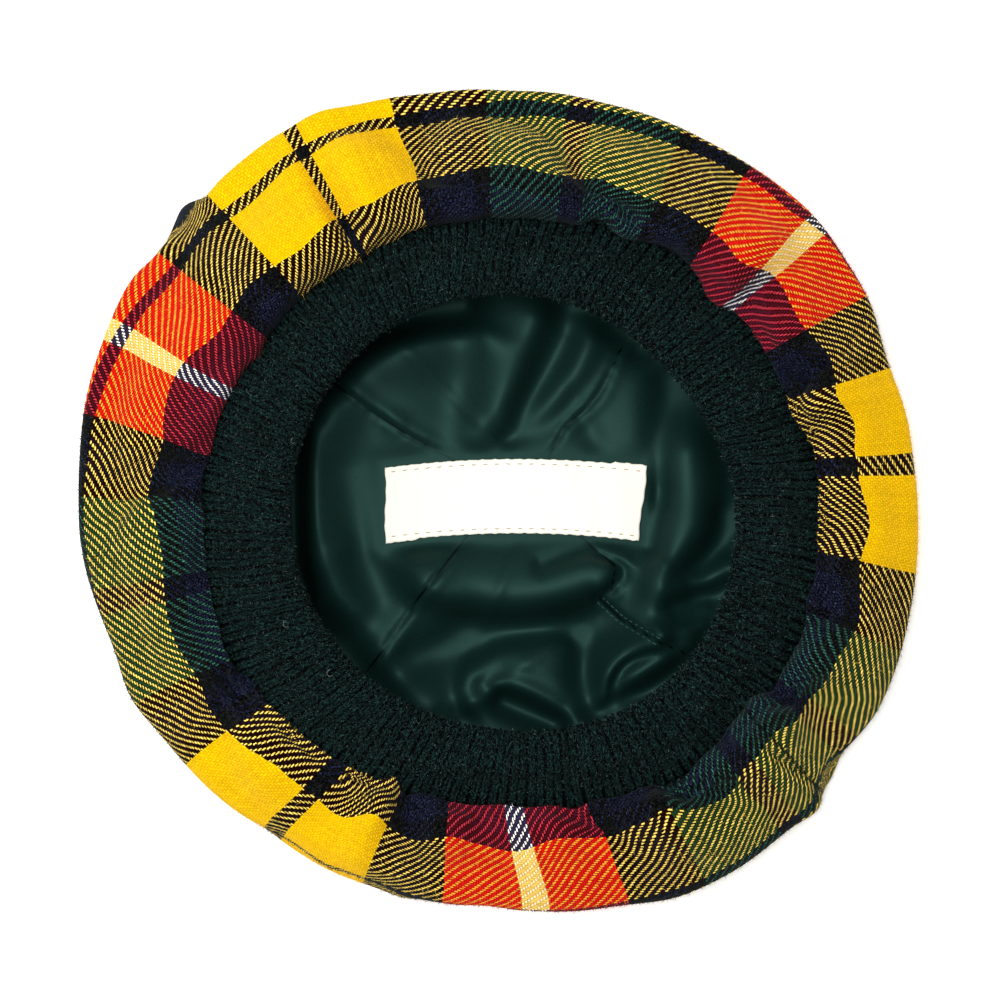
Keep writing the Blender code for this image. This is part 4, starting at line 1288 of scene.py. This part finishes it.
# %% Build the lining
LABEL_LENGTH = 80.6
LABEL_WIDTH = 23.2
LABEL_THICKNESS = 0.8
LABEL_CENTRE = (4.4, -1.4)
LABEL_TURN = math.radians(0.2)
LABEL_HEIGHT = 11.0
LABEL_BOW = 1.6
LABEL_ARCH = 2.6  # mm by which the label's middle lies further up than its ends
LABEL_SLANT = 0.12  # how much its right-hand end leans
LABEL_CALM = 4.5  # mm beyond the label within which the satin is held flat
LABEL_GAP = 0.35  # mm from the satin to the label's lower side
LINING_LOWEST = 2.9  # mm, above the crown's cloth


def label_bow(along):
    """A flat arch over the label's length: 1 at its middle and 0 at its ends."""
    return np.maximum(0, 1 - (2 * along / LABEL_LENGTH) ** 2)


def label_frame(x, y):
    """Distances from the label's middle, along it and across it."""
    dx, dy = x - LABEL_CENTRE[0], y - LABEL_CENTRE[1]
    cos, sin = math.cos(LABEL_TURN), math.sin(LABEL_TURN)
    along = dx * cos + dy * sin
    return along, dy * cos - dx * sin - LABEL_ARCH * label_bow(along)


def label_top(along):
    """The height of the label's upper side."""
    return LABEL_HEIGHT + LABEL_BOW * label_bow(along)


def lining_height(x, y):
    """The satin's height: its folds, held up under the label and nowhere below the crown's cloth."""
    height = LINING_FLOOR + fold_heights(x, y) + seam_heights(x, y)
    along, across = label_frame(x, y)
    past_end = np.maximum(0, np.abs(along) - LABEL_LENGTH / 2 - 1)
    past_edge = np.maximum(0, np.abs(across) - LABEL_WIDTH / 2 - 1)
    calm = np.exp(-((np.hypot(past_end, past_edge) / LABEL_CALM) ** 2))
    height = height + calm * (label_top(along) - LABEL_THICKNESS - LABEL_GAP - height)
    return LINING_LOWEST + np.log1p(np.exp(height - LINING_LOWEST))


def build_lining():
    """Points of the satin's upper side, from its edge in the band's seam to its middle."""
    angle = np.arange(LINING_COLUMNS) * 360 / LINING_COLUMNS
    seam = around(SEAM, angle)
    top, flat, rest = SEAM_HEIGHT - BAND_THICKNESS / 2 - 0.3, 0 * seam, seam - LINING_REST
    knots = [
        (seam - 3.4, top - 0.3 + flat),
        (seam + 2.0, top - 9.0 + flat),
        (seam + 3.0, top - 17.0 + flat),
        (seam - 3.0, top - 24.0 + flat),
        (rest, flat + LINING_EDGE),
    ]
    radius, height = section_path(knots, LINING_STEPS)
    shares = np.linspace(1, 0.01, LINING_ROWS)[1:, None]
    radius = np.concatenate([radius, rest * shares])
    height = np.concatenate([height, flat * shares])
    place = ring_points(radius, height, angle)
    settled = np.clip((rest - radius) / LINING_SETTLES, 0, 1)
    settled = settled * settled * (3 - 2 * settled)
    floor = np.arange(len(radius)) >= sum(LINING_STEPS)
    folded = lining_height(place[..., 0], place[..., 1])
    place[floor, :, 2] = (LINING_EDGE * (1 - settled) + settled * folded)[floor]
    return place


def satin_lining():
    """Satin: filament acetate with long floats. Dark, with a soft, broad shine that follows the folds."""
    material, tree = new_material("dark green acetate satin")
    place = add(tree, "ShaderNodeTexCoord").outputs["Object"]
    # The floats are about 0.2 mm, drawn at 0.5 mm so that they show.
    floats = add(tree, "ShaderNodeTexNoise", {"Vector": place, "Scale": 1 / (0.5 * MM), "Detail": 2.0})
    bump = add(tree, "ShaderNodeBump", {"Strength": 0.25, "Distance": 0.1 * MM, "Height": floats})
    grain = {0: floats, 6: linear("#04120F"), 7: linear("#102824")}
    grain = add(tree, "ShaderNodeMix", grain, data_type="RGBA")
    # In a seam the satin turns down out of the light, and its two edges meet in a line of painted shade.
    away = add(tree, "ShaderNodeAttribute", attribute_name="seam").outputs["Fac"]
    line = add(tree, "ShaderNodeMapRange", {0: away, 1: 0.15, 2: 0.6}, interpolation_type="SMOOTHSTEP")
    colour = add(tree, "ShaderNodeMix", {0: line, 6: linear("#000101"), 7: grain}, data_type="RGBA")
    shine = {"Roughness": 0.53, "Specular IOR Level": 0.24, "Specular Tint": linear("#A8F0E2")}
    shader = add(tree, "ShaderNodeBsdfPrincipled", {"Base Color": colour, "Normal": bump, **shine})
    add(tree, "ShaderNodeOutputMaterial", {0: shader})
    return material


lining_grid = build_lining()
flat = lining_grid[..., :2] / LINING_SPREAD + 0.5
lining_uv = np.concatenate([flat, flat[:, :1]], axis=1)
lining = grid_object("satin_lining", lining_grid, lining_uv, middle=lining_grid[-1].mean(axis=0))
lining.data.flip_normals()
lining.data.materials.append(satin_lining())
places = vertex_places(lining)
give_numbers(lining.data, "seam", seam_distance(places[:, 0], places[:, 1]))
give_thickness(lining, SATIN)
print("lining:", triangles(lining), "triangles")

# %% [markdown]
# ## The label
#
# A strip of white tape, folded under at both ends, bows over the middle of the lining. It is left bare.
# It is sewn along both long edges, with short stitches that a tree sets along each edge.

# %% Build the label
FOLD_UNDER = 10.0
LABEL_STITCHES = 22
STITCH_INSET = 1.5


def turned_under(along, softness):
    """1 where the tape's end is folded under it, and 0 between the ends."""
    return 1 / (1 + np.exp((LABEL_LENGTH / 2 - FOLD_UNDER - np.abs(along)) / softness))


def label_place(along, across):
    """A place on the tape's upper side, in the cap's frame."""
    cos, sin = math.cos(LABEL_TURN), math.sin(LABEL_TURN)
    wave = 0.25 * np.sin(along / 6.1) * (across / LABEL_WIDTH * 2) + 0.18 * np.sin(along / 2.3 + across / 5)
    height = label_top(along) + 0.25 * turned_under(along, 0.25) + wave * 0.5
    across = across + LABEL_ARCH * label_bow(along)
    along = along + LABEL_SLANT * across * np.clip(2 * along / LABEL_LENGTH, 0, 1) ** 2
    x = LABEL_CENTRE[0] + along * cos - across * sin
    y = LABEL_CENTRE[1] + along * sin + across * cos
    return np.stack([x, y, height], -1)


def build_label():
    """Points of the tape's upper side."""
    share = np.linspace(-1, 1, 120)
    along, across = np.meshgrid(share * LABEL_LENGTH / 2, np.linspace(-0.5, 0.5, 31) * LABEL_WIDTH)
    # Tape that is folded by hand ends a little unevenly, and is drawn in where each stitch pulls.
    along = along + np.abs(share) ** 24 * (0.22 * np.sin(across / 3.1) + 0.1 * np.sin(across / 0.9))
    across = across * (1 - 0.006 * np.cos(along * 2 * np.pi * LABEL_STITCHES / LABEL_LENGTH))
    across = across * (1 + 0.006 * np.sin(along * 1.7) + 0.005 * np.sin(along * 3.1 + 1))
    # Its two folded ends aren't folded quite straight, so a corner of each stands out a little.
    side, folded = np.sign(along), turned_under(along, 0.2)
    across = across + 0.5 * folded * side * np.clip(across * side / LABEL_WIDTH * 2, 0, 1) ** 4
    return label_place(along, across)


def label_tape():
    """Label tape: fine cotton and polyester taffeta, matt and off-white, with a weave of 0.3 mm."""
    material, tree = new_material("white woven tape")
    place = add(tree, "ShaderNodeTexCoord").outputs["Object"]
    threads = add(tree, "ShaderNodeTexWave", {"Vector": place, "Scale": 0.05 / MM, "Distortion": 1.5})
    weave = add(tree, "ShaderNodeTexNoise", {"Vector": place, "Scale": 1 / (0.6 * MM), "Detail": 2.0})
    both = add(tree, "ShaderNodeMath", {0: threads.outputs["Fac"], 1: weave}, operation="ADD")
    bump = add(tree, "ShaderNodeBump", {"Strength": 0.3, "Distance": 0.1 * MM, "Height": both})
    tint = {0: weave, 6: linear("#EAE8D8"), 7: linear("#F4F2E4")}
    tint = add(tree, "ShaderNodeMix", tint, data_type="RGBA")
    tape = {"Base Color": tint, "Roughness": 0.7, "Specular IOR Level": 0.2, "Normal": bump}
    shader = add(tree, "ShaderNodeBsdfPrincipled", tape)
    add(tree, "ShaderNodeOutputMaterial", {0: shader})
    return material


label_grid = build_label()
rows, columns = label_grid.shape[:2]
label_uv = np.stack(np.meshgrid(np.linspace(0, 1, columns), np.linspace(0, 1, rows)), -1)
label = grid_object("bare_label", label_grid, label_uv, closed=False)
label.data.flip_normals()
label.data.materials.append(label_tape())
give_thickness(label, LABEL_THICKNESS)
print("label:", triangles(label), "triangles")


# %% Sew the label on
def sewing_thread(name, colour):
    """Sewing thread: mercerised cotton, with a slight shine."""
    material, tree = new_material(name)
    cotton = {"Base Color": linear(colour), "Roughness": 0.55, "Specular IOR Level": 0.3}
    shader = add(tree, "ShaderNodeBsdfPrincipled", cotton)
    add(tree, "ShaderNodeOutputMaterial", {0: shader})
    return material


def sewing_tree(material):
    """A short stitch on every point, bent like a flat arch and turned to its directions."""
    tree, given = new_tree("sewing stitches", Length=0.0012, Thread=0.00017, Rise=0.0003, Seed=SEED)
    along = add(tree, "ShaderNodeCombineXYZ", {0: given["Length"]})
    start = add(tree, "ShaderNodeVectorMath", {0: along, "Scale": -0.5}, operation="SCALE")
    end = add(tree, "ShaderNodeVectorMath", {0: along, "Scale": 0.5}, operation="SCALE")
    top = add(tree, "ShaderNodeCombineXYZ", {2: given["Rise"]})
    bend = {"Resolution": 4, "Start": start, "Middle": top, "End": end}
    arch = add(tree, "GeometryNodeCurveQuadraticBezier", bend)
    circle = add(tree, "GeometryNodeCurvePrimitiveCircle", {"Resolution": 5, "Radius": given["Thread"]})
    stitch = add(tree, "GeometryNodeCurveToMesh", {0: arch, 1: circle, "Fill Caps": True})
    return finish_tree(tree, on_each_point(tree, given, stitch, (0.0, 0.0, 0.12)), material)


def label_stitch_places():
    """Places and directions of the stitches along the tape's two long edges."""
    share = (np.arange(LABEL_STITCHES) + 0.5) / LABEL_STITCHES - 0.5
    along, edge = np.meshgrid(share * (LABEL_LENGTH - 1.5), (-1, 1))
    along, across = along.ravel(), edge.ravel() * (LABEL_WIDTH / 2 - STITCH_INSET)
    here, ahead = label_place(along, across), label_place(along + 0.1, across)
    lengthwise = unit(ahead - here)
    outward = upright(lengthwise)
    return here + 0.05 * outward, outward, lengthwise


thread = sewing_thread("beige cotton thread", "#B9A78C")
places, outward, lengthwise = label_stitch_places()
label_stitches = points_object("label_stitches", places, outward=outward, lengthwise=lengthwise)
run_tree(label_stitches, sewing_tree(thread))
print(len(places), "stitches,", triangles(label_stitches), "triangles")

# %% [markdown]
# Where one of the lining's seams was closed last, from outside, it has two rows of stitches that show.
# The same tree sews them, on points that lie beside the seam's own line.

# %% Sew the last seam
SEWN_SEAM = LINING_SEAMS[3][4:7]
SEWN_ASIDE = 1.1  # mm from the seam to each row
SEWN_PITCH = 1.9


def beside_seam(line, aside, pitch):
    """Places and directions of stitches that lie beside a seam, on the satin."""
    line = np.array(line, float)
    passed = length_along(line)
    at = np.arange(pitch / 2, passed[-1] - 0.1, pitch)
    here = np.stack([np.interp(at, passed, line[:, k]) for k in (0, 1)], -1)
    ahead = np.stack([np.interp(at + 0.1, passed, line[:, k]) for k in (0, 1)], -1)
    along = unit(ahead - here)
    here = here + aside * np.stack([-along[:, 1], along[:, 0]], -1)
    ahead = here + 0.1 * along
    here, ahead = (np.column_stack([p, lining_height(p[:, 0], p[:, 1])]) for p in (here, ahead))
    lengthwise = unit(ahead - here)
    return here, upright(lengthwise), lengthwise


rows_beside = [beside_seam(SEWN_SEAM, aside, SEWN_PITCH) for aside in (-SEWN_ASIDE, SEWN_ASIDE)]
places, outward, lengthwise = (np.concatenate(part) for part in zip(*rows_beside))
seam_stitches = points_object("seam_stitches", places, outward=outward, lengthwise=lengthwise)
run_tree(seam_stitches, sewing_tree(sewing_thread("green cotton thread", "#27493F")), Length=0.0013)
print(len(places), "stitches,", triangles(seam_stitches), "triangles")

# %% [markdown]
# ## Fuzz
#
# Wool never ends at its surface: loose fibres stand out from it, soften its outline and dull the edges
# of its stripes. A tree scatters short fibres over a piece of cloth, each thinner towards its tip, and
# keeps each one's place on the strip, so it has the colour of the thread that it came from.


# %% Grow fibres
def fuzz_tree(material):
    """Short fibres scattered over a piece, more where its fuzz attribute is higher."""
    tree, given = new_tree("fuzz", Density=1000.0, Length=0.0016, Thickness=0.00006, Seed=SEED)
    thick = add(tree, "GeometryNodeInputNamedAttribute", {0: "fuzz"}, data_type="FLOAT")
    density = add(tree, "ShaderNodeMath", {0: thick, 1: given["Density"]}, operation="MULTIPLY")
    spread = {0: given["Piece"], "Density": density, "Seed": given["Seed"]}
    spread = add(tree, "GeometryNodeDistributePointsOnFaces", spread, distribute_method="RANDOM")
    place = add(tree, "GeometryNodeInputNamedAttribute", {0: "Cloth"}, data_type="FLOAT_VECTOR")
    rooted = {0: spread, "Name": "root", "Value": place}
    rooted = add(tree, "GeometryNodeStoreNamedAttribute", rooted, data_type="FLOAT_VECTOR", domain="POINT")
    relative = add(tree, "ShaderNodeMath", {0: given["Thickness"], 1: given["Length"]}, operation="DIVIDE")
    cone = {"Vertices": 3, "Radius Top": 0.0, "Radius Bottom": relative, "Depth": 1.0}
    fibre = add(tree, "GeometryNodeMeshCone", cone, fill_type="NGON")
    limits = {0: (-1.1, -1.1, -math.pi), 1: (1.1, 1.1, math.pi), "Seed": given["Seed"]}
    tilt = add(tree, "FunctionNodeRandomValue", limits, data_type="FLOAT_VECTOR")
    turn = {0: spread.outputs["Rotation"], 1: tilt}
    turn = add(tree, "FunctionNodeRotateRotation", turn, rotation_space="LOCAL")
    size = add(tree, "FunctionNodeRandomValue", {2: 0.4, 3: 1.5, "Seed": given["Seed"]}, data_type="FLOAT")
    scale = add(tree, "ShaderNodeMath", {0: size, 1: given["Length"]}, operation="MULTIPLY")
    placing = {0: rooted, 2: fibre, "Rotation": turn, "Scale": scale}
    return finish_tree(tree, add(tree, "GeometryNodeInstanceOnPoints", placing), material)


def tartan_fibre():
    """Loose wool fibres of the tartan: the colour of the cloth at the root, a little paler."""
    material, tree = new_material("tartan wool fibres")
    root = add(tree, "ShaderNodeAttribute", attribute_name="root").outputs["Vector"]
    colour = tartan_colour(tree, root)[0]
    pale = add(tree, "ShaderNodeMix", {0: 0.02, 6: colour, 7: linear("#D8CBB4")}, data_type="RGBA")
    wool = {"Base Color": pale, "Roughness": 0.8, "Specular IOR Level": 0.1}
    shader = add(tree, "ShaderNodeBsdfPrincipled", wool)
    add(tree, "ShaderNodeOutputMaterial", {0: shader})
    return material


def grown_on(piece, name, lowest, softly, material, **inputs):
    """A new piece of fibres on another piece's outer side, from a height in mm upwards, starting softly."""
    mesh = piece.data.copy()
    mesh.name = name
    mesh.materials.clear()
    in_sight = np.clip((vertex_places(piece)[:, 2] - lowest) / softly, 0, 1)
    give_numbers(mesh, "fuzz", in_sight)
    return run_tree(add_object(name, mesh), fuzz_tree(material), **inputs)


crown_skin = grid_object("crown_skin", crown_grid, crown_uv, middle=CROWN_MIDDLE)
# Fibres to the square metre, and their length and thickness in metres.
worsted = {"Density": 800000.0, "Length": 0.0013, "Thickness": 0.00005}
crown_fuzz = grown_on(crown_skin, "crown_fuzz", 4, 6, tartan_fibre(), **worsted)
bpy.data.objects.remove(crown_skin)
print("crown fuzz:", triangles(crown_fuzz), "triangles")

stitch_fibre = rib_wool("bottle green lambswool, fibres", "#000403", "#82A09A")
woollen = {"Density": 1050000.0, "Length": 0.0019, "Thickness": 0.00007}
band_fuzz = grown_on(band, "band_fuzz", 38, 3, stitch_fibre, **woollen)
print("band fuzz:", triangles(band_fuzz), "triangles")

# %% [markdown]
# Dark wool that has been worn always carries a few stray pale fibres, curled up on it. Three of them lie
# on the band, each half a turn of a spiral that a tree puts on a point.

# %% Lay a few stray fibres on the band
STRAY_FIBRES = np.array([(-65.0, -38.0, 1.6), (-51.5, -53.0, 1.8), (-63.0, 18.0, 1.3)])  # x, y, radius
RIB_HEIGHT = 1.6  # mm from the smooth ring to the top of its stitches


def on_band(x, y):
    """Places on the ribs of the band, at points seen from above."""
    angle, radius = np.degrees(np.arctan2(y, x)), np.hypot(x, y)
    upper = sum(BAND_STEPS[:5])
    radii, heights = (part[:upper] for part in band_section(angle, angle))
    high = [np.interp(r, radii[::-1, k], heights[::-1, k]) for k, r in enumerate(radius)]
    return np.stack([x, y, np.array(high) + RIB_HEIGHT], -1)


def curl_tree(material):
    """A loosely curled fibre on every point, turned at random."""
    tree, given = new_tree("stray fibres", Turns=0.55, Fibre=0.00004, Seed=SEED + 4)
    curl = {"Start Radius": 0.35, "End Radius": 1.0, "Height": 0.3}
    spiral = add(tree, "GeometryNodeCurveSpiral", {"Resolution": 14, "Rotations": given["Turns"], **curl})
    size = add(tree, "GeometryNodeInputNamedAttribute", {0: "size"}, data_type="FLOAT")
    limits = {0: (-0.5, -0.5, -math.pi), 1: (0.5, 0.5, math.pi), "Seed": given["Seed"]}
    turn = add(tree, "FunctionNodeRandomValue", limits, data_type="FLOAT_VECTOR")
    placing = {0: given["Piece"], 2: spiral, "Rotation": turn, "Scale": size}
    placed = add(tree, "GeometryNodeInstanceOnPoints", placing)
    real = add(tree, "GeometryNodeRealizeInstances", {0: placed})
    circle = add(tree, "GeometryNodeCurvePrimitiveCircle", {"Resolution": 4, "Radius": given["Fibre"]})
    fibre = add(tree, "GeometryNodeCurveToMesh", {0: real, 1: circle})
    return finish_tree(tree, fibre, material)


places = on_band(STRAY_FIBRES[:, 0], STRAY_FIBRES[:, 1])
stray_fibres = points_object("stray_fibres", places, size=STRAY_FIBRES[:, 2] * MM)
run_tree(stray_fibres, curl_tree(sewing_thread("stray white wool", "#8C9893")))
print(len(places), "stray fibres,", triangles(stray_fibres), "triangles")

# %% [markdown]
# ## Who replaces whom
#
# The solid model has one solid for each of the four sewn parts. Each is hidden in the render, and the
# detailed pieces made above stand for it. Each piece is attached to the cap's root, beside the name of
# the solid that it stands for.

# %% Hide each solid, and attach the pieces that stand for it to the cap's root
for piece, node, slot in (
    (crown, "crown", "tartan_wool"),
    (crown_fuzz, "crown", "tartan_wool"),
    (band, "headband", "rib_knit"),
    (knit, "headband", "rib_knit"),
    (band_fuzz, "headband", "rib_knit"),
    (stray_fibres, "headband", "rib_knit"),
    (lining, "lining", "satin_lining"),
    (seam_stitches, "lining", "satin_lining"),
    (label, "label", "label_tape"),
    (label_stitches, "label", "label_tape"),
):
    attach(piece, "root")
    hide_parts(node)
    print(piece.name, "stands for", node)

# %% [markdown]
# Each sheet of cloth was cut flat before it was sewn. The crown is a strip less its darts, so that what
# lies flat on the table is a circle. The band is a strip of knit, the lining is a circle of four wedges,
# and the label is a piece of tape with both ends folded under.

# %% [markdown]
# ## Table, lights and camera
#
# A product photographer's table is a sheet of white acrylic that is also lit a little from below, so the
# object's shadow stays faint. A large soft light hangs nearly above the cap, and a weak one fills its
# shadows from the side. The camera looks straight down from a long way off, so it has a long lens.

# %% Table, lights and camera
bpy.context.scene.view_settings.view_transform = "Standard"
TABLE_HALF = 3.0
TABLE_HEIGHT = -0.0002  # just below the cap, so that the two don't share a plane
GLOW = 0.42  # of the table and of the room


def table():
    """The table's top, which isn't part of the object."""
    mesh = bpy.data.meshes.new("table_top")
    corners = [(x * TABLE_HALF, y * TABLE_HALF, 0) for x, y in ((-1, -1), (1, -1), (1, 1), (-1, 1))]
    mesh.from_pydata(corners, [], [(0, 1, 2, 3)])
    material, tree = new_material("white acrylic table, lit from below")
    lit = {"Emission Color": (1, 1, 1, 1), "Emission Strength": GLOW}
    acrylic = {"Base Color": linear("#F4F4F4"), "Roughness": 0.8}
    shader = add(tree, "ShaderNodeBsdfPrincipled", {**acrylic, **lit})
    add(tree, "ShaderNodeOutputMaterial", {0: shader})
    mesh.materials.append(material)
    add_object("table_top", mesh, (0, 0, TABLE_HEIGHT))


def softbox(name, azimuth, elevation, distance, size, power):
    """A square soft light that looks at the cap."""
    a, e = math.radians(azimuth), math.radians(elevation)
    light = bpy.data.lights.new(name, "AREA")
    light.energy, light.size = power, size
    place = [distance * v for v in (math.cos(a) * math.cos(e), math.sin(a) * math.cos(e), math.sin(e))]
    lamp = add_object(name, light, place)
    lamp.rotation_euler = (0, math.pi / 2 - e, a)


table()
softbox("key", 155, 79, 1.9, 1.0, 38)
softbox("fill", 165, 40, 1.6, 1.0, 4)
world = bpy.data.worlds.new("studio")
bpy.context.scene.world = world
world.use_nodes = True
background = world.node_tree.nodes["Background"]
background.inputs["Color"].default_value = (1, 1, 1, 1)
background.inputs["Strength"].default_value = GLOW

CAMERA_HEIGHT = 1.6  # above the plane on which the frame's width is measured
FRAME_PLANE = 0.02
FRAME_WIDTH = 0.3114
SENSOR = 36  # mm
camera = bpy.data.cameras.new("from above")
camera.sensor_width = SENSOR
camera.lens = SENSOR * CAMERA_HEIGHT / FRAME_WIDTH
bpy.context.scene.camera = add_object("camera", camera, (0, 0, FRAME_PLANE + CAMERA_HEIGHT))
print("the camera's lens is", round(camera.lens), "mm")
